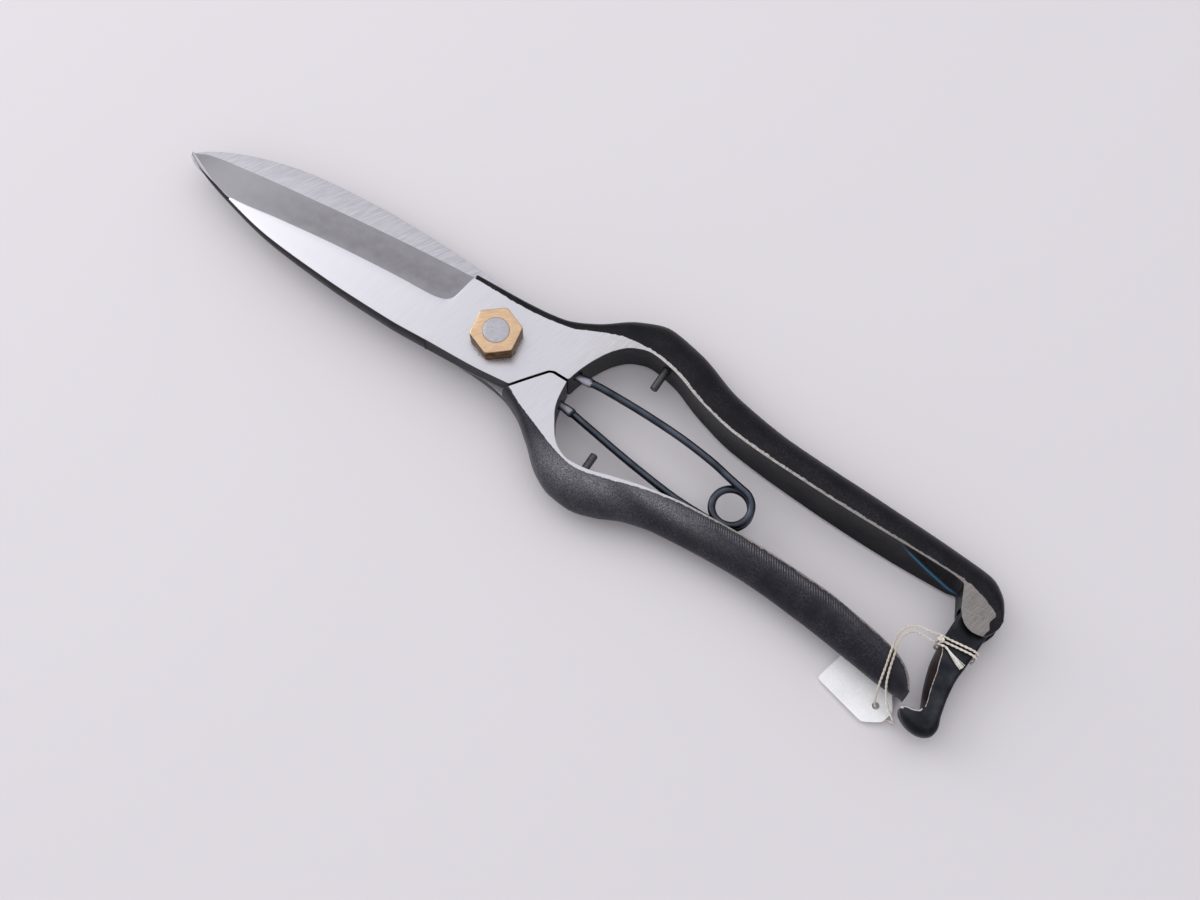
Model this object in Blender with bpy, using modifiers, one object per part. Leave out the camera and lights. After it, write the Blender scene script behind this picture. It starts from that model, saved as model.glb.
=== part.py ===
"""Hand-forged floral snips: two half-lapped forgings, bolt and nut, return spring and a latch.

Units are metres in Blender and millimetres in this file's sizes. +X points at the blade tips, +Z is
the pivot axis with the nut on top, and the front forging's handle lies on the -Y side.
"""
import math

import bmesh
import bpy
from mathutils import Matrix, Vector

MM = 0.001

# edges from this angle up stay sharp, the rest is shaded smooth
SHARP_FROM = math.radians(32)

# heights over the bolt head's underside
HEAD_THICK = 1.8
SEAT_GAP = 0.2
HALF_THICK = 5.6
LAP_GAP = 0.3
BLADE_RELIEF = 0.1
NUT_THICK = 4.5
STUD_PROUD = 0.15

REAR_BASE = HEAD_THICK + SEAT_GAP
REAR_LAP = REAR_BASE + HALF_THICK
FRONT_LAP = REAR_LAP + LAP_GAP
FRONT_TOP = FRONT_LAP + HALF_THICK
MID = (REAR_LAP + FRONT_LAP) / 2

# pivot
BOLT_D = 7.0
BOLT_CLEAR = 0.3
STUD_EASE = 0.35
HEAD_D = 14.0
HEAD_EASE = 0.6
NUT_FLATS = 12.1
NUT_TURN = math.radians(39.5)
NUT_EASE = 0.3
NUT_CLEAR = 0.15

# shoulders: each forging's full-height shoulder stands outside the other one's boss
SHOULDER_GAP = 0.7
REAR_BOSS_R = 16.9
STOP_X = -22.0
BOSS_X = 15.0
SPINE_END_X = -9.6

# blade section, thinner towards the tip
FRONT_TIP = 100.2
REAR_TIP = 101.0
BLADE_TAPER = 3.7
TAPER_CURVE = 1.7
EDGE_LAND = 0.35
EDGE_WIDE = 0.12
SPINE_BULGE = 0.35
SPINE_LEAN = 0.1

# latch pin, from which the ends of both handles are set out
LATCH_X = -141.2
LATCH_Y = -5.2
FRONT_PAST_PIN = 5.6
REAR_SHORT_OF_PIN = 5.0
END_DROP_BEFORE = 23.2
SCOOP_BEFORE = 25.7
SCOOP_STOP = 6.7

FRONT_END = LATCH_X - FRONT_PAST_PIN
REAR_END = LATCH_X + REAR_SHORT_OF_PIN
END_DROP_X = LATCH_X + END_DROP_BEFORE
SCOOP_FROM = LATCH_X + SCOOP_BEFORE
SCOOP_TO = LATCH_X + SCOOP_STOP

# handle section, with a hollow inner face and a scoop ground into it near the front handle's end
FLAT_LEAST = 0.15
END_DROP = 0.9
HOLLOW_X = -26.0
HOLLOW = 0.5
HOLLOW_FADE = 20.0
HOLLOW_END = 10.0
SCOOP = 1.7
SCOOP_LOW = 0.86

# return spring
WIRE_D = 2.05
COIL_X = -74.6
COIL_Y = 4.2
COIL_R = 5.05
COIL_TURNS = 1.5
COIL_STEPS = 30
COIL_PITCH = 2.6
SPRING_SEAT_DEEP = 3.2
FRONT_SEAT_IN = 0.8
REAR_SEAT_IN = 0.4
WIRE_CLEAR = 0.3
FRONT_SEAT_Y = -3.6
REAR_SEAT_Y = 4.4

# pegs in the bows
PEG_D = 2.1
PEG_REACH = 6.0
PEG_DEEP = 3.5
FRONT_PEG_X = -40.7
REAR_PEG_X = -37.8
PEG_CLEAR = 0.25

# latch: it locks when it is turned back past the place that it rests in
LATCH_EYE_R = 4.3
LATCH_THICK = 5.4
LATCH_EDGE = 0.7
LATCH_REST = math.radians(4)
LATCH_STEP = 1.1
FACET_DEEP = 3.4
SLOT_CLEAR = 0.3
SLOT_ROOM = 0.7
PIN_D = 3.0
PIN_CLEAR = 0.25
PIN_SKIN = 0.9
PIN_SHY = 0.1

# tag and string
TAG_LONG = 19.0
TAG_WIDE = 11.0
TAG_NIP = 3.7
TAG_THICK = 0.3
TAG_GAP = 0.25
TAG_LIFT = math.radians(2.6)
TAG_TURN = math.radians(166)
TAG_X = -115.4
TAG_Y = 28.3
TAG_HOLE_D = 1.9
TAG_HOLE_IN = 4.0
STRING_D = 0.65
STRING_STEP = 1.9
WRAP_X = -140.9
WRAP_Y = 6.3
WRAP_HALF = (5.4, 3.7)
WRAP_ROUND = 0.45
WRAP_PITCH = 1.1
WRAP_SKEW = 0.14
WRAP_FROM = 75
WRAP_TURNS = 2
WRAP_STEP = 15


def smooth(points):
    """Monotone cubic curve y(x) through a few points given from high x to low x."""
    xs = [p[0] for p in reversed(points)]
    ys = [p[1] for p in reversed(points)]
    steps = [xs[i + 1] - xs[i] for i in range(len(xs) - 1)]
    rates = [(ys[i + 1] - ys[i]) / steps[i] for i in range(len(steps))]
    slopes = [rates[0]]
    for i in range(1, len(rates)):
        if rates[i - 1] * rates[i] <= 0:
            slopes.append(0.0)
        else:
            w1 = 2 * steps[i] + steps[i - 1]
            w2 = steps[i] + 2 * steps[i - 1]
            slopes.append((w1 + w2) / (w1 / rates[i - 1] + w2 / rates[i]))
    slopes.append(rates[-1])

    def value(x):
        x = min(max(x, xs[0]), xs[-1])
        i = max(k for k in range(len(steps)) if xs[k] <= x or k == 0)
        t = (x - xs[i]) / steps[i]
        h00 = (1 + 2 * t) * (1 - t) ** 2
        h10 = t * (1 - t) ** 2
        h01 = t * t * (3 - 2 * t)
        h11 = t * t * (t - 1)
        return h00 * ys[i] + h10 * steps[i] * slopes[i] + h01 * ys[i + 1] + h11 * steps[i] * slopes[i + 1]

    return value


def straight(points, x):
    """Straight-line interpolation through points given from high x to low x."""
    if x >= points[0][0]:
        return points[0][1]
    for a, b in zip(points, points[1:]):
        if x >= b[0]:
            return a[1] + (b[1] - a[1]) * (a[0] - x) / (a[0] - b[0])
    return points[-1][1]


def shifted(line, distance):
    """Open polyline moved sideways, to the left of its direction."""
    moved = []
    for i, point in enumerate(line):
        before = line[max(i - 1, 0)]
        after = line[min(i + 1, len(line) - 1)]
        along = Vector((after[0] - before[0], after[1] - before[1])).normalized()
        moved.append((point[0] - along.y * distance, point[1] + along.x * distance))
    return moved


def flowing(route, step, closed=False):
    """Even points on a smooth curve through a route, and the curve's length."""
    spots = [Vector(p) for p in route]
    if closed:
        spots = [spots[-1]] + spots + spots[:2]
    else:
        spots = [2 * spots[0] - spots[1]] + spots + [2 * spots[-1] - spots[-2]]
    fine = []
    for a, b, c, d in zip(spots, spots[1:], spots[2:], spots[3:]):
        for k in range(20):
            t = k / 20
            fine.append(0.5 * (2 * b + (c - a) * t + (2 * a - 5 * b + 4 * c - d) * t * t
                               + (3 * b - a - 3 * c + d) * t ** 3))
    fine.append(spots[-2])
    whole = sum((b - a).length for a, b in zip(fine, fine[1:]))
    count = round(whole / step)
    even = [fine[0]]
    run = 0.0
    for a, b in zip(fine, fine[1:]):
        run += (b - a).length
        if run >= len(even) * whole / count and len(even) < count:
            even.append(b)
    if not closed:
        even.append(fine[-1])
    return even, whole


def least_gap(points, diameter, apart):
    """Least free distance of a tube to itself, between points further apart along it than apart."""
    fine = []
    for a, b in zip(points, points[1:]):
        count = max(1, int((b - a).length / 0.4))
        fine += [a.lerp(b, k / count) for k in range(count)]
    run = [0.0]
    for a, b in zip(fine, fine[1:]):
        run.append(run[-1] + (b - a).length)
    best = 1e9
    for i, a in enumerate(fine):
        for j in range(i + 1, len(fine)):
            if run[j] - run[i] > apart:
                best = min(best, (a - fine[j]).length)
    return best - diameter


scene = bpy.context.scene
for item in list(bpy.data.objects):
    bpy.data.objects.remove(item, do_unlink=True)
PART = bpy.data.collections.new("floral_snips")
CUTTERS = bpy.data.collections.new("cutters")
scene.collection.children.link(PART)
scene.collection.children.link(CUTTERS)


def material(name, colour, rough, metal):
    """Plain Principled material."""
    made = bpy.data.materials.new(name)
    made.use_nodes = True
    shader = made.node_tree.nodes["Principled BSDF"]
    shader.inputs["Base Color"].default_value = (*colour, 1.0)
    shader.inputs["Roughness"].default_value = rough
    shader.inputs["Metallic"].default_value = metal
    return made


def add(name, mesh, home=PART, finish=None, at=(0, 0, 0)):
    """Object for a mesh, in a collection."""
    made = bpy.data.objects.new(name, mesh)
    home.objects.link(made)
    made.location = Vector(at) * MM
    if finish is not None:
        mesh.materials.clear()
        mesh.materials.append(finish)
    if home is CUTTERS:
        made.hide_render = True
        made.display_type = "WIRE"
        mesh.shade_flat()
    else:
        mesh.shade_smooth()
        mesh.set_sharp_from_angle(angle=SHARP_FROM)
    bpy.context.view_layer.update()
    return made


def loft(name, rings):
    """Closed mesh through rings of equal count, with flat end caps."""
    work = bmesh.new()
    rows = [[work.verts.new(p) for p in ring] for ring in rings]
    count = len(rows[0])
    for a, b in zip(rows, rows[1:]):
        for k in range(count):
            n = (k + 1) % count
            work.faces.new((a[k], a[n], b[n], b[k]))
    bmesh.ops.triangulate(work, faces=work.faces)
    work.faces.new(rows[0])
    work.faces.new(list(reversed(rows[-1])))
    bmesh.ops.recalc_face_normals(work, faces=work.faces)
    mesh = bpy.data.meshes.new(name)
    work.to_mesh(mesh)
    work.free()
    return mesh


def solid_from(curve, place=Matrix.Identity(4)):
    """Welded mesh of a curve object."""
    holder = bpy.data.objects.new(curve.name, curve)
    scene.collection.objects.link(holder)
    bpy.context.view_layer.update()
    seen = holder.evaluated_get(bpy.context.evaluated_depsgraph_get())
    mesh = bpy.data.meshes.new_from_object(seen)
    bpy.data.objects.remove(holder, do_unlink=True)
    work = bmesh.new()
    work.from_mesh(mesh)
    bmesh.ops.remove_doubles(work, verts=work.verts, dist=1e-7)
    bmesh.ops.transform(work, matrix=place, verts=work.verts)
    bmesh.ops.recalc_face_normals(work, faces=work.faces)
    work.to_mesh(mesh)
    work.free()
    return mesh


def prism(name, outline, low, high, edge=0.0):
    """Plate with a closed plan outline between two heights, its edges rounded by edge."""
    curve = bpy.data.curves.new(name, "CURVE")
    curve.dimensions = "2D"
    curve.fill_mode = "BOTH"
    curve.extrude = ((high - low) / 2 - edge) * MM
    curve.bevel_depth = edge * MM
    curve.bevel_resolution = 1
    curve.offset = -edge * MM
    line = curve.splines.new("POLY")
    line.points.add(len(outline) - 1)
    for spot, (x, y) in zip(line.points, outline):
        spot.co = (x * MM, y * MM, 0, 1)
    line.use_cyclic_u = True
    return solid_from(curve, Matrix.Translation((0, 0, (high + low) / 2 * MM)))


def tube(name, points, diameter, fineness=2):
    """Round tube with closed ends along points."""
    curve = bpy.data.curves.new(name, "CURVE")
    curve.dimensions = "3D"
    curve.bevel_depth = diameter / 2 * MM
    curve.bevel_resolution = fineness
    curve.use_fill_caps = True
    line = curve.splines.new("POLY")
    line.points.add(len(points) - 1)
    for spot, point in zip(line.points, points):
        spot.co = (*(point * MM), 1)
    return solid_from(curve)


def rod(name, radius, start, end, sides=32):
    """Cylinder between two points."""
    a = Vector(start) * MM
    b = Vector(end) * MM
    work = bmesh.new()
    place = Matrix.Translation((a + b) / 2) @ (b - a).to_track_quat("Z", "Y").to_matrix().to_4x4()
    bmesh.ops.create_cone(work, cap_ends=True, segments=sides, radius1=radius * MM, radius2=radius * MM,
                          depth=(b - a).length, matrix=place)
    mesh = bpy.data.meshes.new(name)
    work.to_mesh(mesh)
    work.free()
    return mesh


def cut(target, mesh):
    """Takes a closed mesh out of an object with an exact Boolean."""
    tool = add(mesh.name, mesh, CUTTERS)
    boolean = target.modifiers.new(mesh.name, "BOOLEAN")
    boolean.operation = "DIFFERENCE"
    boolean.solver = "EXACT"
    boolean.object = tool
    seen = target.evaluated_get(bpy.context.evaluated_depsgraph_get())
    fresh = bpy.data.meshes.new_from_object(seen)
    target.modifiers.clear()
    old = target.data
    target.data = fresh
    bpy.data.meshes.remove(old)


def turn_over(mesh):
    """Turns a forging over about the X axis at the lap's middle height."""
    flip = Matrix.Translation((0, 0, MID * MM)) @ Matrix.Rotation(math.pi, 4, "X")
    mesh.transform(flip @ Matrix.Translation((0, 0, -MID * MM)))


# materials
STEEL = material("forged_steel", (0.09, 0.09, 0.10), 0.45, 0.9)
STEEL_REAR = material("forged_steel_rear", (0.09, 0.09, 0.10), 0.45, 0.9)
BOLT_STEEL = material("bolt_steel", (0.45, 0.45, 0.47), 0.4, 1.0)
BRASS = material("nut_brass", (0.62, 0.42, 0.17), 0.35, 1.0)
BLUED = material("blued_spring_steel", (0.05, 0.06, 0.09), 0.35, 1.0)
PEG_STEEL = material("peg_steel", (0.12, 0.12, 0.13), 0.5, 0.9)
PEG_STEEL_REAR = material("peg_steel_rear", (0.12, 0.12, 0.13), 0.5, 0.9)
LATCH_STEEL = material("latch_steel", (0.07, 0.07, 0.07), 0.5, 0.9)
PIN_STEEL = material("pin_steel", (0.3, 0.3, 0.31), 0.45, 1.0)
PAPER = material("tag_paper", (0.85, 0.85, 0.86), 0.8, 0.0)
COTTON = material("cotton_string", (0.75, 0.70, 0.62), 0.9, 0.0)

# seam between the front boss and the rear shoulder, from the outside in
SEAM = [(-6.0, 14.0), (-10.0, 9.3), (-13.2, 5.0), (-16.6, 0.6), (-17.8, 0.0), (STOP_X, 0.0)]

# outlines of the front forging, tip to handle end, in plan
FRONT = {
    "outer": smooth([
        (FRONT_TIP, -1.0), (97, -2.6), (83, -5.1), (67, -7.2), (38, -10.5), (15, -12.4), (-2, -13.4),
        (-11, -14.6), (-19, -18.4), (-28, -25.4), (-36, -28.4), (-46, -26.8), (-61, -21.8),
        (-80, -19), (LATCH_X + 36.2, -18), (LATCH_X + 11.2, -16.8), (LATCH_X + 2.2, -15.9),
        (LATCH_X - 2.3, -13.2), (LATCH_X - 4.8, -9.5), (FRONT_END, -7.0)]),
    "flat": smooth([
        (FRONT_TIP, -0.8), (83, 5.0), (68, 3.3), (51, 1.5), (31, 0.0), (21, -0.5), (17.3, -1.4),
        (15.8, -3.0), (15.2, -5.4), (14.3, -10.5), (0, -10.7), (-14, -12.5), (-22, -16), (-28, -18.2),
        (-36, -19.0), (-44, -17.9), (-54, -14.4), (-66, -11.8), (-80, -10.9), (LATCH_X + 36.2, -10.4),
        (LATCH_X + 8.2, -10.4), (LATCH_X + 3.2, -10.6), (LATCH_X - 1.8, -9.4), (FRONT_END, -6.0)]),
    "spine": smooth([
        (FRONT_TIP, -0.6), (95, 1.9), (83, 5.6), (67, 9.0), (53, 10.3), (40, 11.0), (26, 11.2), (15, 10.7),
        (1, 10.1), (SPINE_END_X, 9.0)]),
    "bow": smooth([
        (-22, -0.35), (-22.6, -3.0), (-24.5, -8.2), (-27, -12.8), (-31, -16.7), (-36, -18.3), (-43, -17.3),
        (-54, -13.7), (-66, -11.1), (-80, -10.2), (LATCH_X + 36.2, -9.7), (LATCH_X + 13.2, -9.8),
        (LATCH_X + 7.6, -9.3), (LATCH_X + 6.0, -6.2), (LATCH_X + 4.2, -2.4), (LATCH_X + 2.2, -0.4),
        (LATCH_X - 0.3, 0.4), (LATCH_X - 2.8, 0.0), (LATCH_X - 4.8, -2.2), (FRONT_END, -4.4)]),
    "lean": smooth([
        (-45, 0.0), (-70, 1.1), (LATCH_X + 46.2, 2.0), (LATCH_X + 26.2, 2.3), (LATCH_X + 11.2, 2.0),
        (LATCH_X + 5.2, 0.0)]),
    "end": FRONT_END,
}

# outlines of the rear forging, turned over so that it reads like the front one
REAR = {
    "outer": smooth([
        (REAR_TIP, 0.2), (98, -1.5), (83, -3.8), (67, -5.5), (38, -8.0), (15, -9.4), (0, -9.8), (-7.7, -10.8),
        (-14, -13.2), (-21, -18.3), (-28, -24.2), (-34, -26.8), (-40, -27.4), (-46, -25.9),
        (-54, -22.3), (-62, -20.5), (-86, -19), (LATCH_X + 36.2, -20.2), (LATCH_X + 21.2, -22),
        (LATCH_X + 9.2, -23.2), (REAR_END, -23.0)]),
    "flat": smooth([
        (REAR_TIP, 0.5), (83, 9.8), (68, 6.0), (51, 3.8), (31, 2.0), (21, 1.5), (17.3, 0.7), (15.8, -1.0),
        (15.2, -3.2), (14.3, -8.0), (0, -8.6), (-9, -9.4), (-16, -12.4), (-22, -14.6), (-28, -16.9),
        (-36, -18.6), (-44, -16.9), (-54, -14.0), (-66, -12.0), (-84, -11.0), (LATCH_X + 36.2, -11.6),
        (LATCH_X + 21.2, -13.6), (LATCH_X + 14.2, -15.1), (LATCH_X + 9.7, -17.1), (LATCH_X + 6.7, -19.8),
        (REAR_END, -22.2)]),
    "spine": smooth([
        (REAR_TIP, 0.7), (98.5, 3.0), (83, 10.2), (68, 13.6), (54, 14.9), (42, 15.4), (32, 15.4), (17, 14.8),
        (4, 14.1), (-5, 13.9), (SPINE_END_X, 13.9)]),
    "bow": smooth([
        (-22, -0.35), (-22.4, -4.5), (-25, -10.6), (-30, -16.4), (-34, -17.7), (-38, -17.4), (-46, -15.2),
        (-55, -12.9), (-66, -11.2), (-84, -10.3), (LATCH_X + 36.2, -10.9), (LATCH_X + 24.2, -12.5),
        (LATCH_X + 16.2, -13.9), (LATCH_X + 11.7, -15.2), (LATCH_X + 8.4, -17.1), (LATCH_X + 6.2, -19.4),
        (REAR_END, -21.6)]),
    "lean": smooth([(-45, 0.0), (REAR_END, 0.0)]),
    "end": REAR_END,
}
BOW_START = -FRONT["bow"](STOP_X)

# how far apart the sections stand, down to each place
SECTION_STEPS = [(95, 1.8), (21, 6.5), (14, 0.7), (SPINE_END_X, 5.0), (0.3 - REAR_BOSS_R, 0.9),
                 (-REAR_BOSS_R, 0.1), (STOP_X, 0.9), (-27, 0.6), (-47, 2.5), (LATCH_X + 27.2, 6.5),
                 (FRONT_END, 1.2)]

# squareness of the handle's rounded sides, from boxy at the boss to round
SIDE_ROUND = [(14, 0.6), (-22, 0.8), (-40, 1.0)]


def stations(tip, end):
    """Places of the sections from the tip to the handle's end."""
    places = [tip]
    for stop, step in SECTION_STEPS:
        start = places[-1]
        run = start - max(stop, end)
        count = math.ceil(run / step - 1e-6)
        places += [start - run * k / count for k in range(1, count + 1)]
    return places


def boss_arc(radius, x):
    """Half width of a round boss at x."""
    return math.sqrt(max(radius * radius - x * x, 0.0))


def front_inner(x):
    """Front forging's side that faces the rear handle."""
    if x >= SPINE_END_X:
        return FRONT["spine"](x)
    if x >= STOP_X:
        return min(straight(shifted(SEAM, SHOULDER_GAP / 2), x), FRONT["spine"](SPINE_END_X))
    return FRONT["bow"](x) - (SHOULDER_GAP / 2 - BOW_START)


def rear_inner(x):
    """Rear forging's side that faces the front handle, turned over."""
    if x >= SPINE_END_X:
        return min(REAR["spine"](x), boss_arc(REAR_BOSS_R, x)) if x < 0 else REAR["spine"](x)
    if x >= STOP_X:
        return max(boss_arc(REAR_BOSS_R, x), -SHOULDER_GAP / 2) if x > -REAR_BOSS_R else -SHOULDER_GAP / 2
    return REAR["bow"](x) - (SHOULDER_GAP / 2 - BOW_START)


def heights(x, tip, end):
    """Top, bottom and widest height of a forging's section at x, seen as the front one."""
    drop = END_DROP * max(0.0, (END_DROP_X - x) / (END_DROP_X - end))
    run = max(0.0, (x - BOSS_X) / (tip - BOSS_X))
    top = FRONT_TOP - drop - BLADE_TAPER * run ** TAPER_CURVE
    if x > BOSS_X:
        base = FRONT_LAP + BLADE_RELIEF
        return top, base, base + EDGE_LAND
    return top, REAR_BASE + drop, MID


def inner_dip(plan, x, share):
    """How far the inner side is hollowed at x, at a share of its height; a bulge is negative."""
    if x > BOSS_X:
        return -SPINE_BULGE * math.sin(math.pi * share)
    if x > HOLLOW_X:
        return 0.0
    fade = min(1.0, (HOLLOW_X - x) / HOLLOW_FADE) * min(1.0, max(0.0, (x - plan["end"]) / HOLLOW_END))
    dip = HOLLOW * fade * math.sin(math.pi * share)
    run = (SCOOP_FROM - x) / (SCOOP_FROM - SCOOP_TO)
    if plan is REAR or not 0 < run < 1:
        return dip
    floor = 1 - SCOOP_LOW * run ** 0.8
    up = max(0.0, (share - floor) / (1 - floor))
    return dip + SCOOP * min(1.0, 3 * run) * min(1.0, 6 * (1 - run)) * up * (1 - up ** 8)


def section(plan, inner, x, tip):
    """Closed ring of points round a forging at x."""
    top, base, wide = heights(x, tip, plan["end"])
    outer = plan["outer"](x)
    edge = inner(x)
    flat = min(plan["flat"](x), edge - FLAT_LEAST)
    blade = x > BOSS_X
    side = 1.0 if blade else straight(SIDE_ROUND, x)
    low_flat = outer + EDGE_WIDE if blade else flat
    spine_lean = SPINE_LEAN * straight([(BOSS_X, 1.0), (SPINE_END_X, 0.0)], x) * (top - base)
    low_edge = edge + plan["lean"](x) + spine_lean
    ring = [(edge, top), (flat, top)]
    count = 6
    for k in range(1, count + 1):
        turn = k / count * math.pi / 2
        share = math.sin(turn) ** (2 if blade else side)
        rise = math.cos(turn) ** (2 if blade else side)
        ring.append((flat + (outer - flat) * share, wide + (top - wide) * rise))
    for k in range(count - 1, -1, -1):
        turn = k / count * math.pi / 2
        share = math.sin(turn) ** side
        rise = math.cos(turn) ** side
        ring.append((low_flat + (outer - low_flat) * share, wide + (base - wide) * rise))
    ring.append((low_edge, base))
    for share in (0.12, 0.28, 0.44, 0.6, 0.76, 0.9):
        dip = inner_dip(plan, x, share)
        ring.append((low_edge + (edge - low_edge) * share - dip, base + (top - base) * share))
    return [Vector((x, y, z)) * MM for y, z in ring]


# front forging
front = add("front_blade_handle", loft("front_blade_handle", [
    section(FRONT, front_inner, x, FRONT_TIP) for x in stations(FRONT_TIP, FRONT_END)]), finish=STEEL)

# rear forging, made turned over and turned back after its cuts
rear = add("rear_blade_handle", loft("rear_blade_handle", [
    section(REAR, rear_inner, x, REAR_TIP) for x in stations(REAR_TIP, REAR_END)]), finish=STEEL_REAR)

# room under the front boss for the rear boss, bounded by the front forging's round shoulder
FAR = 60.0
ROOM_X = BOSS_X + 1.5
shoulder_r = REAR_BOSS_R + SHOULDER_GAP / 2
arc_turns = [math.radians(180 + 58 * k / 16) for k in range(17)]
arc = [(shoulder_r * math.cos(a), shoulder_r * math.sin(a)) for a in arc_turns]
away = (2.5 * arc[-1][0], 2.5 * arc[-1][1])
room = [(ROOM_X, FAR), (STOP_X - 8, FAR), (STOP_X - 8, 0)] + arc + [away, (ROOM_X, -FAR)]
cut(front, prism("rear_boss_room", room, -5, FRONT_LAP))

# room in the rear forging for the front boss, bounded by the seam
seam_out = [(x, -y) for x, y in reversed(shifted(SEAM, -SHOULDER_GAP / 2))]
room = [(ROOM_X, FAR), (STOP_X - 8, FAR), (STOP_X - 8, seam_out[0][1])]
room += seam_out + [(2, -FAR), (ROOM_X, -FAR)]
cut(rear, prism("front_boss_room", room, -5, FRONT_LAP))
turn_over(rear.data)

# pivot holes
for forging in (front, rear):
    cut(forging, rod("pivot_hole", BOLT_D / 2 + BOLT_CLEAR, (0, 0, -5), (0, 0, 30)))

# bolt with a low round head and a stud that ends flush in the nut, turned from its half profile
nut_base = FRONT_TOP + SEAT_GAP
stud_end = nut_base + NUT_THICK + STUD_PROUD
head_r = HEAD_D / 2
stud_r = BOLT_D / 2
profile = [(0, stud_end), (stud_r - STUD_EASE, stud_end), (stud_r, stud_end - STUD_EASE),
           (stud_r, HEAD_THICK), (head_r, HEAD_THICK), (head_r, HEAD_EASE), (head_r - HEAD_EASE, 0), (0, 0)]
steps_down = [(k, k + 1) for k in range(len(profile) - 1)]
bolt_mesh = bpy.data.meshes.new("pivot_bolt")
bolt_mesh.from_pydata([(r * MM, 0, z * MM) for r, z in profile], steps_down, [])
bolt = add("pivot_bolt", bolt_mesh, finish=BOLT_STEEL)
turning = bolt.modifiers.new("turning", "SCREW")
turning.steps = 40
turning.render_steps = 40
turning.use_merge_vertices = True
turning.merge_threshold = 1e-6

# brass nut
nut_r = NUT_FLATS / math.sqrt(3)
nut_turns = [NUT_TURN + k * math.pi / 3 for k in range(6)]
corners = [(nut_r * math.cos(turn), nut_r * math.sin(turn)) for turn in nut_turns]
nut = add("pivot_nut", prism("pivot_nut", corners, nut_base, nut_base + NUT_THICK, NUT_EASE), finish=BRASS)
cut(nut, rod("nut_bore", BOLT_D / 2 + NUT_CLEAR, (0, 0, 0), (0, 0, 40)))

# pegs in blind holes in the bows' inner walls
for name, x, wall, way, forging, finish in (
        ("front_peg", FRONT_PEG_X, front_inner(FRONT_PEG_X), 1, front, PEG_STEEL),
        ("rear_peg", REAR_PEG_X, -rear_inner(REAR_PEG_X), -1, rear, PEG_STEEL_REAR)):
    foot = wall - way * PEG_DEEP
    cut(forging, rod(name + "_hole", PEG_D / 2 + PEG_CLEAR, (x, foot - way * SEAT_GAP, MID),
                     (x, wall + way * 4, MID)))
    peg = rod(name, PEG_D / 2, (x, foot, MID), (x, wall + way * PEG_REACH, MID), 20)
    add(name, peg, finish=finish)

# return spring: leg, one and a half turns, leg
coil_top = MID + COIL_TURNS * COIL_PITCH / 2
coil_base = MID - COIL_TURNS * COIL_PITCH / 2
front_seat = (STOP_X - FRONT_SEAT_IN + SPRING_SEAT_DEEP, FRONT_SEAT_Y, coil_top)
rear_seat = (STOP_X - REAR_SEAT_IN + SPRING_SEAT_DEEP, REAR_SEAT_Y, coil_base)
path = [Vector(front_seat), Vector((-24.5, FRONT_SEAT_Y, coil_top)), Vector((-30, -4.2, coil_top)),
        Vector((-42, -4.4, coil_top)), Vector((-54, -4.0, coil_top)), Vector((-64, -2.9, coil_top)),
        Vector((-70, -1.7, coil_top))]
for k in range(COIL_STEPS + 1):
    turn = -math.pi / 2 - COIL_TURNS * 2 * math.pi * k / COIL_STEPS
    height = coil_top - COIL_TURNS * COIL_PITCH * k / COIL_STEPS
    path.append(Vector((COIL_X + COIL_R * math.cos(turn), COIL_Y + COIL_R * math.sin(turn), height)))
path += [Vector((-68, 9.5, coil_base)), Vector((-60, 9.3, coil_base)), Vector((-50, 8.2, coil_base)),
         Vector((-42, 7.1, coil_base)), Vector((-32, 5.5, coil_base)),
         Vector((-24.5, REAR_SEAT_Y, coil_base)), Vector(rear_seat)]
add("return_spring", tube("return_spring", path, WIRE_D, 1), finish=BLUED)
print("return spring's least gap to itself: %.2f mm" % least_gap(path, WIRE_D, 8.0))
hole_r = WIRE_D / 2 + WIRE_CLEAR
cut(front, rod("front_spring_seat", hole_r, (front_seat[0] + SEAT_GAP, FRONT_SEAT_Y, coil_top),
               (STOP_X - 6, FRONT_SEAT_Y, coil_top), 20))
cut(rear, rod("rear_spring_seat", hole_r, (rear_seat[0] + SEAT_GAP, REAR_SEAT_Y, coil_base),
              (STOP_X - 6, REAR_SEAT_Y, coil_base), 20))

# latch outline round its pin, where it locks: x, y and the radius of the rounded edge there
EYE_LINE = [(LATCH_EYE_R * math.cos(a), LATCH_EYE_R * math.sin(a), LATCH_EDGE)
            for a in (math.radians(170 + 190 * k / 8) for k in range(9))]
BAR_INNER = [(4.7, 3.0, 0.7), (5.2, 8.0, 0.7), (5.4, 12.5, 0.4), (5.1, 17.0, 0.25), (3.9, 22.6, 0.25),
             (2.6, 26.6, 0.25)]
HOOK_LIP = [(2.5, 28.2, 0.3), (4.0, 28.9, 0.35), (6.0, 29.1, 0.35), (7.0, 29.9, 0.5), (6.5, 31.4, 1.0)]
HOOK_KNOB = [(4.5, 33.2, 1.9), (1.5, 34.1, 2.2), (-1.1, 33.8, 2.2), (-2.9, 32.5, 2.1), (-3.5, 30.2, 1.7)]
BAR_OUTER = [(-2.7, 27.0, 1.2), (-2.1, 22.0, 0.9), (-2.1, 17.5, 0.9), (-2.7, 13.5, 0.9), (-3.2, 10.0, 0.8),
             (-3.7, 6.0, 0.7)]

# width of the sloped facet filed along the bar's inner edge, hook to eye
FACET_WIDE = [(27.6, 0.4), (25.2, 0.9), (18.0, 1.7), (13.5, 1.2), (10.5, 0.0)]


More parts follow.
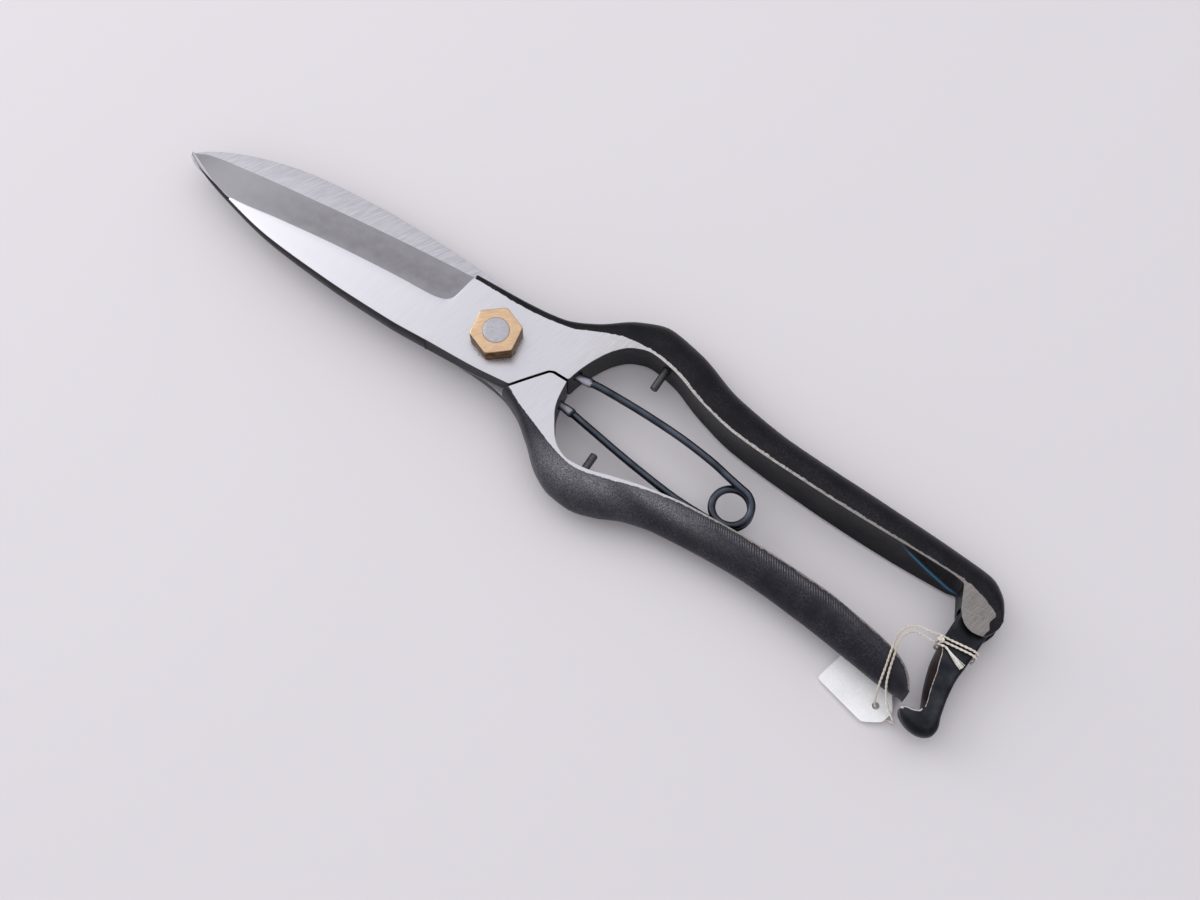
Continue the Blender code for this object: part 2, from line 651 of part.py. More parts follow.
def latch_rings():
    """Rings of the latch from its base to its top."""
    line, _ = flowing(EYE_LINE + BAR_INNER + HOOK_LIP + HOOK_KNOB + BAR_OUTER, LATCH_STEP, closed=True)
    low = MID - LATCH_THICK / 2
    high = MID + LATCH_THICK / 2
    outs = []
    for before, after in zip(line[-1:] + line, line[1:] + line[:1]):
        along = Vector((after.x - before.x, after.y - before.y)).normalized()
        outs.append(Vector((along.y, -along.x)))
    rows = []
    for turn in (0, math.pi / 4, math.pi / 2):
        rows.append([(p.z * (1 - math.sin(turn)), low + p.z * (1 - math.cos(turn))) for p in line])
    rows.append([(0, high - max(FACET_DEEP, p.z)) for p in line])
    for turn in (0, math.pi / 4, math.pi / 2):
        rows.append([(p.z * (1 - math.cos(turn)), high - p.z * (1 - math.sin(turn))) for p in line])
    rings = []
    for row in rows:
        ring = []
        for p, out, (inset, z) in zip(line, outs, row):
            wide = straight(FACET_WIDE, p.y) if 1 < p.x and 10 < p.y < FACET_WIDE[0][0] else 0.0
            lean = wide * max(0.0, (z - high) / FACET_DEEP + 1)
            ring.append(Vector((p.x - out.x * inset - lean, p.y - out.y * inset, z)) * MM)
        rings.append(ring)
    return rings


# latch: an eye in the front handle's slotted end, a bar, and a hook past the rear handle's end
latch_mesh = loft("latch_hook", latch_rings())
latch_mesh.transform(Matrix.Rotation(LATCH_REST, 4, "Z"))
latch = add("latch_hook", latch_mesh, finish=LATCH_STEEL, at=(LATCH_X, LATCH_Y, 0))
cut(latch, rod("latch_eye_hole", PIN_D / 2 + PIN_CLEAR, (LATCH_X, LATCH_Y, 0), (LATCH_X, LATCH_Y, 20), 24))

# slot in the front handle's end, open to the inside and to the tail
slot_low = LATCH_Y - LATCH_EYE_R - SLOT_ROOM
slot_front = LATCH_X + LATCH_EYE_R + SLOT_ROOM
slot_half = LATCH_THICK / 2 + SLOT_CLEAR
slot = [(slot_front, slot_low), (slot_front, 20), (FRONT_END - 13, 20), (FRONT_END - 13, slot_low)]
cut(front, prism("latch_slot", slot, MID - slot_half, MID + slot_half))

# pin, put in from below and blind at the top
end_top, end_base, _ = heights(LATCH_X, FRONT_TIP, FRONT_END)
pin_high = end_top - PIN_SKIN
cut(front, rod("latch_pin_hole", PIN_D / 2 + PIN_CLEAR, (LATCH_X, LATCH_Y, -3),
               (LATCH_X, LATCH_Y, pin_high), 24))
add("latch_pin", rod("latch_pin", PIN_D / 2, (LATCH_X, LATCH_Y, end_base + PIN_SHY),
                     (LATCH_X, LATCH_Y, pin_high - SEAT_GAP), 24), finish=PIN_STEEL)

# paper tag, half under the rear handle, lifted at its holed end by the string
tag_base = REAR_BASE - TAG_GAP - TAG_THICK
edge_line = [(0, 0), (TAG_LONG - TAG_NIP, 0), (TAG_LONG, TAG_NIP), (TAG_LONG, TAG_WIDE - TAG_NIP),
             (TAG_LONG - TAG_NIP, TAG_WIDE), (0, TAG_WIDE)]
tag_place = (Matrix.Translation(Vector((TAG_X, TAG_Y, tag_base)) * MM) @ Matrix.Rotation(TAG_TURN, 4, "Z")
             @ Matrix.Rotation(-TAG_LIFT, 4, "Y"))
tag = add("tag", prism("tag", edge_line, 0, TAG_THICK), finish=PAPER)
hole_mid = Vector((TAG_LONG - TAG_HOLE_IN, TAG_WIDE / 2, 0))
cut(tag, rod("tag_hole", TAG_HOLE_D / 2, hole_mid - Vector((0, 0, 3)), hole_mid + Vector((0, 0, 3)), 20))
tag.data.transform(tag_place)

# string: a tail on the latch bar, two wraps round it, over the rear handle, through the tag and back
TAIL_ROUTE = [(-144.1, 9.2, 11.2), (-142.2, 8.4, 11.3), (-140.2, 7.6, 11.45)]
TAG_ROUTE = [
    (-135.4, 4.8, 11.6), (-133.2, 5.6, 12.2), (-130.4, 6.3, 13.2), (-128.1, 7.8, 14.2), (-126.9, 10.2, 14.6),
    (-126.9, 13.4, 14.3), (-127.6, 16.8, 13.7), (-128.4, 20.2, 12.4), (-129.2, 23.4, 9.4),
    (-130.2, 25.6, 5.6), (-130.8, 26.5, 3.4), (-131.6, 26.9, 2.0), (-133.1, 27.3, 1.4), (-134.9, 27.7, 1.4),
    (-136.2, 28.0, 1.8),
    (-136.9, 28.0, 2.9), (-136.6, 27.8, 4.2), (-135.3, 27.1, 5.3), (-132.8, 25.4, 7.5), (-130.6, 22.6, 10.9),
    (-129.4, 19.6, 12.9), (-128.6, 16.4, 13.8), (-127.9, 13.2, 14.3), (-128.1, 10.4, 14.6),
    (-129.4, 8.6, 14.2), (-131.3, 7.8, 13.2), (-133.4, 7.5, 12.4), (-135.0, 7.4, 11.9)]


def wrap_point(angle):
    """Point of the wraps round the latch bar, whose section they follow with rounded corners."""
    across = math.cos(math.radians(angle))
    up = math.sin(math.radians(angle))
    x = WRAP_HALF[0] * math.copysign(abs(across) ** WRAP_ROUND, across)
    z = WRAP_HALF[1] * math.copysign(abs(up) ** WRAP_ROUND, up)
    y = WRAP_Y - WRAP_PITCH * (WRAP_FROM - angle) / 360 + WRAP_SKEW * x
    return WRAP_X + x, y, MID + z


wraps = [wrap_point(angle) for angle in range(WRAP_FROM, WRAP_FROM - 360 * WRAP_TURNS - 1, -WRAP_STEP)]
string_path, string_long = flowing(TAIL_ROUTE + wraps + TAG_ROUTE, STRING_STEP)
add("tag_string", tube("tag_string", string_path, STRING_D, 2), finish=COTTON)
print("string: %.0f mm, %d points" % (string_long, len(string_path)))
print("string's least gap to itself: %.2f mm" % least_gap(string_path, STRING_D, 5.0))
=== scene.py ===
"""Looks of hand-forged floral snips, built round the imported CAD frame.

Sizes are in millimetres until a mesh is made. +X points at the blade tips, +Z runs up the
pivot towards the nut, and the front forging's handle lies on the -Y side.
"""
import logging
import math
from collections.abc import Sequence
from dataclasses import dataclass, field
from enum import Enum

import bmesh
import bpy
import numpy as np
from mathutils import Matrix, Vector, noise


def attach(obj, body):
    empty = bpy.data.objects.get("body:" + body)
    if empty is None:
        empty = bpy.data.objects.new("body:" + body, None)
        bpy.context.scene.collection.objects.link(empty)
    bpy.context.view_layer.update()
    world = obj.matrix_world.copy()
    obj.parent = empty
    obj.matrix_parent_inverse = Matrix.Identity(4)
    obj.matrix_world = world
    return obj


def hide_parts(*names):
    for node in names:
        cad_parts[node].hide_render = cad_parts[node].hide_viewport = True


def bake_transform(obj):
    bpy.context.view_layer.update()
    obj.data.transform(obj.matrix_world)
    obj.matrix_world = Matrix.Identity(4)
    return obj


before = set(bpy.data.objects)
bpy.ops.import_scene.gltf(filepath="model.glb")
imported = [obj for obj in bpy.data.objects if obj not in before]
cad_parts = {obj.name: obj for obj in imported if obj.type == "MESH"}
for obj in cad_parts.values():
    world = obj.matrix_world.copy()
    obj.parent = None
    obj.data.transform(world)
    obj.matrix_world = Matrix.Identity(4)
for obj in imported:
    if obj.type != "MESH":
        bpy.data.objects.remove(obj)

LOG = logging.getLogger("snips")
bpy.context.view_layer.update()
MM = 0.001
Point = tuple[float, float]
Spot = tuple[float, float, float]
Tree = bpy.types.NodeTree
Socket = bpy.types.NodeSocket

# heights of the lapped pair over the bolt head's underside
REAR_BASE = 2.0
REAR_LAP = 7.6
FRONT_LAP = 7.9
FRONT_TOP = 13.5
MID = (REAR_LAP + FRONT_LAP) / 2

# places that more than one piece needs
SHOULDER_GAP = 0.7
STOP_X = -22.0
BOSS_X = 15.0
SPINE_END_X = -9.6
SEAM = ((-6.0, 14.0), (-10.0, 9.3), (-13.2, 5.0), (-16.6, 0.6), (-17.8, 0.0), (STOP_X, 0.0))
BOLT_HOLE_R = 3.8
PEG_D = 2.1
PEG_DEEP = 3.5
FRONT_PEG_X = -40.7
REAR_PEG_X = -37.8
WIRE_D = 2.05
FRONT_SEAT = (-19.6, -3.6, 9.7)
REAR_SEAT = (-19.2, 4.4, 5.8)
LATCH_AT = (-141.2, -5.2)
LATCH_THICK = 5.4
LATCH_EYE_R = 4.3
PIN_D = 3.0
PIN_ENDS = (2.83, 11.67)
HOLE_CLEAR = 0.25
SEAT_CLEAR = 0.42
END_CLEAR = 0.2

# radius at which a turned piece closes on its axis
AXIS_R = 0.02

# points on each span of a smooth curve before they are spaced evenly
SPAN_POINTS = 24


# colour and nodes


def linear(code: str) -> tuple[float, float, float, float]:
    """Turns an sRGB hex colour into linear RGBA.

    Args:
        code: colour as "#rrggbb".

    Returns:
        Linear red, green and blue, with full alpha.
    """
    parts = [int(code[i:i + 2], 16) / 255 for i in (1, 3, 5)]
    red, green, blue = [c / 12.92 if c <= 0.04045 else ((c + 0.055) / 1.055) ** 2.4 for c in parts]
    return red, green, blue, 1.0


def per_mm(size: float) -> float:
    """Texture scale, in object metres, of a pattern with features of a size in mm."""
    return 1.0 / (size * MM)


def add_node(tree: Tree, kind: str, inputs: dict | None = None, out: int | str = 0,
             **settings: object) -> Socket:
    """Adds a shader node, sets its properties, and fills or links its inputs.

    Args:
        tree: node tree of the material or world.
        kind: node type without its ShaderNode prefix.
        inputs: values or output sockets by input name or index.
        out: name or index of the output that is wanted.
        **settings: properties of the node itself.

    Returns:
        The wanted output socket.
    """
    node = tree.nodes.new("ShaderNode" + kind)
    for name, value in settings.items():
        setattr(node, name, value)
    for key, value in (inputs or {}).items():
        if isinstance(value, bpy.types.NodeSocket):
            tree.links.new(value, node.inputs[key])
        else:
            node.inputs[key].default_value = value
    return node.outputs[out]


class Finish:
    """A procedural material: subclasses say what the surface is and how it was made."""

    name: str = "finish"
    metallic: float = 0.0

    def material(self) -> bpy.types.Material:
        """Material of this finish, made once.

        Returns:
            The new material, or the one that was made before.
        """
        found = bpy.data.materials.get(self.name)
        if found is not None:
            return found
        made = bpy.data.materials.new(self.name)
        made.use_nodes = True
        tree = made.node_tree
        shader = tree.nodes["Principled BSDF"]
        shader.inputs["Metallic"].default_value = self.metallic
        for socket, value in self.shade(tree, add_node(tree, "TexCoord", out="Object")).items():
            if isinstance(value, bpy.types.NodeSocket):
                tree.links.new(value, shader.inputs[socket])
            else:
                shader.inputs[socket].default_value = value
        return made

    def shade(self, tree: Tree, coords: Socket) -> dict[str, object]:
        """Adds the finish's own nodes.

        Args:
            tree: the material's node tree.
            coords: object coordinates in metres.

        Returns:
            Values or sockets by shader input name.
        """
        raise NotImplementedError


# plain mesh helpers


def finished(name: str, mesh: bpy.types.Mesh, finish: Finish, crease: float = 32.0) -> bpy.types.Object:
    """Object of a mesh with a finish, smooth but for its creases.

    Args:
        name: piece name.
        mesh: mesh in metres.
        finish: its finish.
        crease: edges that turn more than this many degrees stay sharp.

    Returns:
        The linked object.
    """
    mesh.materials.clear()
    mesh.materials.append(finish.material())
    mesh.shade_smooth()
    mesh.set_sharp_from_angle(angle=math.radians(crease))
    made = bpy.data.objects.new(name, mesh)
    bpy.context.scene.collection.objects.link(made)
    return made


def settle(piece: bpy.types.Object, slot: str, *nodes: str) -> None:
    """Hides the CAD nodes that a piece replaces, and reports the piece.

    Args:
        piece: a piece that already rides on a body or between two.
        slot: the record's material slot, which is not used.
        *nodes: CAD nodes that it replaces.
    """
    if nodes:
        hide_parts(*nodes)
    LOG.info("%s: %d faces", piece.name, len(piece.data.polygons))


def place(piece: bpy.types.Object, body: str, slot: str, *nodes: str) -> None:
    """Lets a piece ride on a body and stand for CAD nodes.

    Args:
        piece: the new piece.
        body: CAD body that carries it.
        slot: the record's material slot.
        *nodes: CAD nodes that it replaces.
    """
    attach(piece, body)
    settle(piece, slot, *nodes)


def store(mesh: bpy.types.Mesh, name: str, values: np.ndarray) -> None:
    """Keeps one value per point in a mesh, for its finish to read."""
    mesh.attributes.new(name, "FLOAT", "POINT").data.foreach_set("value", values.astype(np.float32))


def mesh_from(work: bmesh.types.BMesh, name: str) -> bpy.types.Mesh:
    """Turns a bmesh into a mesh and frees it.

    Args:
        work: bmesh in metres.
        name: mesh name.

    Returns:
        Mesh with its faces turned outwards.
    """
    bmesh.ops.recalc_face_normals(work, faces=work.faces)
    mesh = bpy.data.meshes.new(name)
    work.to_mesh(mesh)
    work.free()
    return mesh


def loft(name: str, rings: Sequence[np.ndarray], capped: bool = True,
         looped: bool = False) -> bpy.types.Mesh:
    """Mesh through rings of equal count.

    Args:
        name: mesh name.
        rings: arrays of points in mm, one array per ring.
        capped: whether the two ends are closed by faces.
        looped: whether the last ring joins the first one.

    Returns:
        Mesh in metres.
    """
    work = bmesh.new()
    rows = [[work.verts.new(Vector(p) * MM) for p in ring] for ring in rings]
    count = len(rows[0])
    pairs = list(zip(rows, rows[1:])) + ([(rows[-1], rows[0])] if looped else [])
    for a, b in pairs:
        for k in range(count):
            n = (k + 1) % count
            work.faces.new((a[k], a[n], b[n], b[k]))
    if capped:
        work.faces.new(rows[0])
        work.faces.new(list(reversed(rows[-1])))
    return mesh_from(work, name)


def prism(name: str, outline: Sequence[Point], low: float, high: float) -> bpy.types.Mesh:
    """Plate with a closed plan outline between two heights."""
    rings = [np.array([(x, y, z) for x, y in outline]) for z in (low, high)]
    return loft(name, rings)


def turned(name: str, profile: Sequence[Point], start: Spot, end: Spot, sides: int = 40) -> bpy.types.Mesh:
    """Turned piece round the line from start to end.

    Args:
        name: mesh name.
        profile: (radius, distance along the line) pairs from one end to the other.
        start: point where distance is 0.
        end: a point further along the axis.
        sides: faces round it.

    Returns:
        Closed mesh in metres.
    """
    a = Vector(start)
    along = (Vector(end) - a).normalized()
    turn = along.to_track_quat("Z", "Y").to_matrix()
    rings = []
    for radius, run in profile:
        ring = [a + turn @ Vector((radius * math.cos(t), radius * math.sin(t), run))
                for t in np.linspace(0, 2 * math.pi, sides, endpoint=False)]
        rings.append(np.array(ring))
    return loft(name, rings)


def hole(name: str, radius: float, start: Spot, end: Spot) -> bpy.types.Mesh:
    """Round tool between two points."""
    length = (Vector(end) - Vector(start)).length
    return turned(name, [(radius, 0), (radius, length)], start, end, 32)


def flowing(points: Sequence[Sequence[float]], step: float, closed: bool = False) -> np.ndarray:
    """Even points on a smooth curve through given ones.

    Args:
        points: points in mm, in a plane or in space.
        step: distance between the new points.
        closed: whether the curve comes back to its start.

    Returns:
        Array of points, without the repeated first one where it is closed.
    """
    spots = [np.array(p, float) for p in points]
    if closed:
        spots = [spots[-1]] + spots + spots[:2]
    else:
        spots = [2 * spots[0] - spots[1]] + spots + [2 * spots[-1] - spots[-2]]
    fine = []
    for a, b, c, d in zip(spots, spots[1:], spots[2:], spots[3:]):
        for t in np.linspace(0, 1, SPAN_POINTS, endpoint=False):
            fine.append(0.5 * (2 * b + (c - a) * t + (2 * a - 5 * b + 4 * c - d) * t * t
                               + (3 * b - a - 3 * c + d) * t ** 3))
    fine.append(spots[-2])
    line = np.array(fine)
    run = run_along(line)
    even = np.linspace(0, run[-1], max(3, round(run[-1] / step)) + 1)
    made = np.stack([np.interp(even, run, line[:, k]) for k in range(line.shape[1])], axis=1)
    return made[:-1] if closed else made


def frames(path: np.ndarray, level: bool = False) -> tuple[np.ndarray, np.ndarray]:
    """Side and up directions along a path, carried along without twist.

    Args:
        path: points in mm.
        level: whether the up direction stays as near to +Z as the path lets it.

    Returns:
        Arrays of side and up unit vectors.
    """
    along = np.gradient(path, axis=0)
    along /= np.linalg.norm(along, axis=1)[:, None]
    sides, ups = [], []
    lift = np.array((0.0, 0.0, 1.0))
    for t in along:
        lift = np.array((0.0, 0.0, 1.0)) if level else lift
        lift = lift - (lift @ t) * t
        lift /= np.linalg.norm(lift)
        ups.append(lift)
        sides.append(np.cross(t, lift))
    return np.array(sides), np.array(ups)


def tube(name: str, path: np.ndarray, half: np.ndarray, sides: int = 12,
         level: bool = False) -> bpy.types.Mesh:
    """Tube with closed ends along a path.

    Args:
        name: mesh name.
        path: points in mm.
        half: half width and half height at each point.
        sides: faces round it.
        level: whether its height stays as near to +Z as the path lets it.

    Returns:
        Closed mesh in metres.
    """
    side, lift = frames(path, level)
    turns = np.linspace(0, 2 * math.pi, sides, endpoint=False)
    rings = [p + np.outer(np.cos(turns) * w, s) + np.outer(np.sin(turns) * h, u)
             for p, (w, h), s, u in zip(path, half, side, lift)]
    return loft(name, rings)


def joined(name: str, meshes: Sequence[bpy.types.Mesh]) -> bpy.types.Mesh:
    """One mesh of several, which are removed.

    Args:
        name: mesh name.
        meshes: meshes in metres.

    Returns:
        The joined mesh.
    """
    work = bmesh.new()
    for mesh in meshes:
        work.from_mesh(mesh)
        bpy.data.meshes.remove(mesh)
    return mesh_from(work, name)


def cut(target: bpy.types.Object, tool: bpy.types.Mesh) -> None:
    """Takes a closed mesh out of an object with an exact Boolean, and removes the tool.

    Args:
        target: object that gets a new mesh.
        tool: closed mesh of the room that is taken out.
    """
    holder = bpy.data.objects.new(tool.name, tool)
    bpy.context.scene.collection.objects.link(holder)
    boolean = target.modifiers.new(tool.name, "BOOLEAN")
    boolean.operation = "DIFFERENCE"
    boolean.solver = "EXACT"
    boolean.object = holder
    bpy.context.view_layer.update()
    seen = target.evaluated_get(bpy.context.evaluated_depsgraph_get())
    fresh = bpy.data.meshes.new_from_object(seen)
    target.modifiers.clear()
    old = target.data
    target.data = fresh
    bpy.data.meshes.remove(old)
    bpy.data.objects.remove(holder, do_unlink=True)
    bpy.data.meshes.remove(tool)


def inside(points: np.ndarray, outline: np.ndarray) -> np.ndarray:
    """Signed distance of plan points to a closed outline, positive inside.

    Args:
        points: array of x, y.
        outline: corners of the outline in order.

    Returns:
        Distance in mm for each point.
    """
    best = np.full(len(points), np.inf)
    odd = np.zeros(len(points), bool)
    for a, b in zip(outline, np.roll(outline, -1, axis=0)):
        d = b - a
        t = np.clip(((points - a) @ d) / max(d @ d, 1e-12), 0, 1)
        best = np.minimum(best, np.linalg.norm(points - a - t[:, None] * d, axis=1))
        crosses = (a[1] > points[:, 1]) != (b[1] > points[:, 1])
        at = a[0] + (points[:, 1] - a[1]) * d[0] / (d[1] if abs(d[1]) > 1e-12 else 1e-12)
        odd ^= crosses & (points[:, 0] < at)
    return np.where(odd, best, -best)


def shifted(line: Sequence[Point], distance: float) -> list[Point]:
    """Open polyline moved sideways.

    Args:
        line: plan points in order.
        distance: shift in mm to the left of the line's direction.

    Returns:
        The moved points.
    """
    moved = []
    for i, point in enumerate(line):
        before, after = line[max(i - 1, 0)], line[min(i + 1, len(line) - 1)]
        along = Vector((after[0] - before[0], after[1] - before[1])).normalized()
        moved.append((point[0] - along.y * distance, point[1] + along.x * distance))
    return moved


def ramp(value: np.ndarray | float, start: np.ndarray | float, full: np.ndarray | float) -> np.ndarray:
    """Share that goes from 0 at start to 1 at full and stays there."""
    return np.clip((value - start) / (full - start), 0, 1)


def run_along(path: np.ndarray) -> np.ndarray:
    """Distance along a path at each of its points."""
    return np.concatenate([[0], np.cumsum(np.linalg.norm(np.diff(path, axis=0), axis=1))])


# forgings


class Zone(Enum):
    """Point values that tell a forging's finish where it is, in signed mm or as a share from 0 to 1."""

    LAND = "land"
    FACE = "face"
    BEVEL = "bevel"
    HONE = "hone"
    WEAR_AND_SHEEN = "wear_and_sheen"
    TEMPER_AND_HIGHLIGHT = "temper_and_highlight"
    FILED = "filed"


class PlanCurve:
    """Monotone cubic y(x) through a few plan points, listed from the tip back."""

    def __init__(self, *points: Point) -> None:
        """Keeps the points and works out their slopes.

        Args:
            *points: x, y from the tip back.
        """
        self.x, self.y = np.array(points[::-1], float).T
        steps = np.diff(self.x)
        rates = np.diff(self.y) / steps
        self.slope = np.concatenate([[rates[0]], np.zeros(len(rates) - 1), [rates[-1]]])
        for i in range(1, len(rates)):
            if rates[i - 1] * rates[i] > 0:
                near, far = 2 * steps[i] + steps[i - 1], steps[i] + 2 * steps[i - 1]
                self.slope[i] = (near + far) / (near / rates[i - 1] + far / rates[i])

    def at(self, x: np.ndarray | float) -> np.ndarray:
        """Reads the curve.

        Args:
            x: place or places along the forging.

        Returns:
            y there, held at the curve's ends.
        """
        x = np.clip(x, self.x[0], self.x[-1])
        i = np.clip(np.searchsorted(self.x, x, side="right") - 1, 0, len(self.x) - 2)
        step = self.x[i + 1] - self.x[i]
        t = (x - self.x[i]) / step
        return ((1 + 2 * t) * (1 - t) ** 2 * self.y[i] + t * (1 - t) ** 2 * step * self.slope[i]
                + t * t * (3 - 2 * t) * self.y[i + 1] + t * t * (t - 1) * step * self.slope[i + 1])


@dataclass(frozen=True)
class Layer:
    """A ground surface over the black scale: where it shows, its colour and its roughness."""

    mask: Socket
    colour: Socket
    rough: float


@dataclass(frozen=True)
class ForgedSteelFinish(Finish):
    """Hand-forged carbon steel: black hammer scale, with ground flats, bevels and honed faces.

    The scale is a satin black with a fine grain and a ragged border where it was ground away. The flats
    are bright satin, the bevel is a soft matte grey, and the honed faces keep lines that cross the blade.
    Places are in mm along the forging, and a way is the turn of a pattern in degrees.
    """

    name: str = "forged_carbon_steel_black_scale_and_ground"
    metallic: float = 1.0
    scale_dark: str = "#27272a"
    scale_pale: str = "#404044"
    scale_worn_and_sheen: str = "#a2a2a8"
    scale_relief: float = 0.6
    land_dark: str = "#c5c5cb"
    land_pale: str = "#d0d0d6"
    # paler colour of the flat at the tip, a painted highlight
    land_tip_highlight: str = "#ececf2"
    land_to_tip: Point = (0.0, 85.0)
    land_way: float = 76.0
    line_dark: str = "#93908d"
    line_pale: str = "#c4c1be"
    line_end: str = "#6b6766"
    line_from: Point = (-18.0, -50.0)
    line_to_end: Point = (-62.0, -116.0)
    line_way: float = 15.0
    bevel_dark: str = "#7f7f82"
    bevel_pale: str = "#b0b0b5"
    # paler colour of the bevel at the tip, a painted highlight
    bevel_tip_highlight: str = "#b6b6bb"
    bevel_to_tip: Point = (60.0, 98.0)
    bevel_wide: float = 10.0
    hone_dark: str = "#acacb2"
    hone_pale: str = "#cbcbd1"
    hone_way: float = 58.0
    ground_relief: float = 0.04
    # tempering blue, drawn as a painted highlight too
    temper_blue_and_highlight: str = "#4f90b4"
    file_apart: float = 0.6
    file_way: float = -33.0
    oil: str = "#3b322c"
    oil_reach: Point = (6.6, 8.8)

    def shade(self, tree: Tree, coords: Socket) -> dict[str, object]:
        """Lays the ground surfaces over the scale.

        Args:
            tree: the material's node tree.
            coords: object coordinates in metres.

        Returns:
            Values or sockets by shader input name.
        """
        grain = add_node(tree, "TexNoise", {"Vector": coords, "Scale": per_mm(0.5), "Detail": 5.0,
                                            "Roughness": 0.62})
        ragged = add_node(tree, "TexNoise", {"Vector": coords, "Scale": per_mm(1.6), "Detail": 6.0,
                                             "Roughness": 0.7})
        reach = add_node(tree, "SeparateXYZ", {0: coords})
        colour = self.black_scale(tree, coords, grain)
        rough = add_node(tree, "MapRange", {0: grain, 1: 0.3, 2: 0.7, 3: 0.36, 4: 0.52})
        relief = self.scale_relief
        for layer in (self.land(tree, coords, ragged, reach), self.bevel(tree, coords, reach),
                      self.hone(tree, coords)):
            colour = add_node(tree, "Mix", {0: layer.mask, 6: colour, 7: layer.colour}, 2, data_type="RGBA")
            rough = add_node(tree, "Mix", {0: layer.mask, 2: rough, 3: layer.rough})
            relief = add_node(tree, "Mix", {0: layer.mask, 2: relief, 3: self.ground_relief})
        dents = add_node(tree, "TexNoise", {"Vector": coords, "Scale": per_mm(2.6), "Detail": 2.0})
        height = add_node(tree, "Math", {0: dents, 1: 3.0, 2: grain}, operation="MULTIPLY_ADD")
        normal = add_node(tree, "Bump", {"Height": height, "Distance": 0.05 * MM, "Strength": relief})
        return {"Base Color": colour, "Roughness": rough, "Normal": normal}

    def black_scale(self, tree: Tree, coords: Socket, grain: Socket) -> Socket:
        """Mottled scale, grey where hands go and where a sheen is painted, with tempering blue and a
        painted highlight at the scoop's edge.

        Args:
            tree: the material's node tree.
            coords: object coordinates in metres.
            grain: the scale's fine noise.

        Returns:
            Its colour.
        """
        cloud = add_node(tree, "TexNoise", {"Vector": coords, "Scale": per_mm(6.0), "Detail": 3.0})
        cloud = add_node(tree, "MapRange", {0: cloud, 1: 0.35, 2: 0.7})
        pits = add_node(tree, "MapRange", {0: grain, 1: 0.42, 2: 0.7})
        mottle = add_node(tree, "Math", {0: cloud, 1: pits}, operation="MULTIPLY")
        colour = add_node(tree, "Mix", {0: mottle, 6: linear(self.scale_dark), 7: linear(self.scale_pale)},
                          2, data_type="RGBA")
        # the specks from hands are finer on the real steel, and are drawn 0.3 mm wide to show
        speck = add_node(tree, "TexNoise", {"Vector": coords, "Scale": per_mm(0.3), "Detail": 4.0,
                                            "Roughness": 0.75})
        speck = add_node(tree, "MapRange", {0: speck, 1: 0.42, 2: 0.66, 3: 0.12, 4: 0.9})
        wear_and_sheen = add_node(tree, "Attribute", out="Fac", attribute_name=Zone.WEAR_AND_SHEEN.value)
        rubbed_and_highlight = add_node(tree, "Math", {0: wear_and_sheen, 1: speck}, operation="MULTIPLY")
        filed = self.file_marks(tree, coords, speck)
        rubbed_and_highlight = add_node(tree, "Math", {0: rubbed_and_highlight, 1: filed}, operation="MAXIMUM")
        # the pale grey is partly bare steel from hands and file marks, and partly a painted sheen on the
        # rear bow
        colour = add_node(tree, "Mix", {0: rubbed_and_highlight, 6: colour, 7: linear(self.scale_worn_and_sheen)}, 2,
                          data_type="RGBA")
        # the blue line is tempering colour, and is also a painted highlight along the scoop's edge
        heat_and_highlight = add_node(tree, "Attribute", out="Fac", attribute_name=Zone.TEMPER_AND_HIGHLIGHT.value)
        return add_node(tree, "Mix", {0: heat_and_highlight, 6: colour, 7: linear(self.temper_blue_and_highlight)}, 2, data_type="RGBA")

    def file_marks(self, tree: Tree, coords: Socket, speck: Socket) -> Socket:
        """Slanting marks of the file along the rear handle.

        Args:
            tree: the material's node tree.
            coords: object coordinates in metres.
            speck: noise that breaks the marks up.

        Returns:
            Their mask.
        """
        way = add_node(tree, "Mapping", {"Vector": coords, "Rotation": (0, 0, math.radians(self.file_way))})
        waves = math.pi / 10 * per_mm(self.file_apart)
        marks = add_node(tree, "TexWave", {"Vector": way, "Scale": waves, "Distortion": 2.5, "Detail": 2.0,
                                           "Detail Scale": 0.8}, 1)
        marks = add_node(tree, "MapRange", {0: marks, 1: 0.4, 2: 0.85, 3: 0.05, 4: 0.9})
        marks = add_node(tree, "Math", {0: marks, 1: speck}, operation="MULTIPLY")
        filed = add_node(tree, "Attribute", out="Fac", attribute_name=Zone.FILED.value)
        return add_node(tree, "Math", {0: marks, 1: filed}, operation="MULTIPLY")

    def land(self, tree: Tree, coords: Socket, ragged: Socket, reach: Socket) -> Layer:
        """Bright ground flat, crossed by fine lines that are drawn 0.3 mm wide to show.

        Along the handle it is a duller, scratched line, and round the nut it is oiled.

        Args:
            tree: the material's node tree.
            coords: object coordinates in metres.
            ragged: noise of the scale's border.
            reach: place along the forging in metres.

        Returns:
            The flat's layer.
        """
        way = add_node(tree, "Mapping", {"Vector": coords, "Rotation": (0, 0, math.radians(self.land_way)),
                                         "Scale": (30, 1, 1)}, vector_type="TEXTURE")
        lines = add_node(tree, "TexNoise", {"Vector": way, "Scale": per_mm(0.3), "Detail": 3.0,
                                            "Roughness": 0.6})
        lines = add_node(tree, "MapRange", {0: lines, 1: 0.3, 2: 0.7})
        colour = add_node(tree, "Mix", {0: lines, 6: linear(self.land_dark), 7: linear(self.land_pale)}, 2,
                          data_type="RGBA")
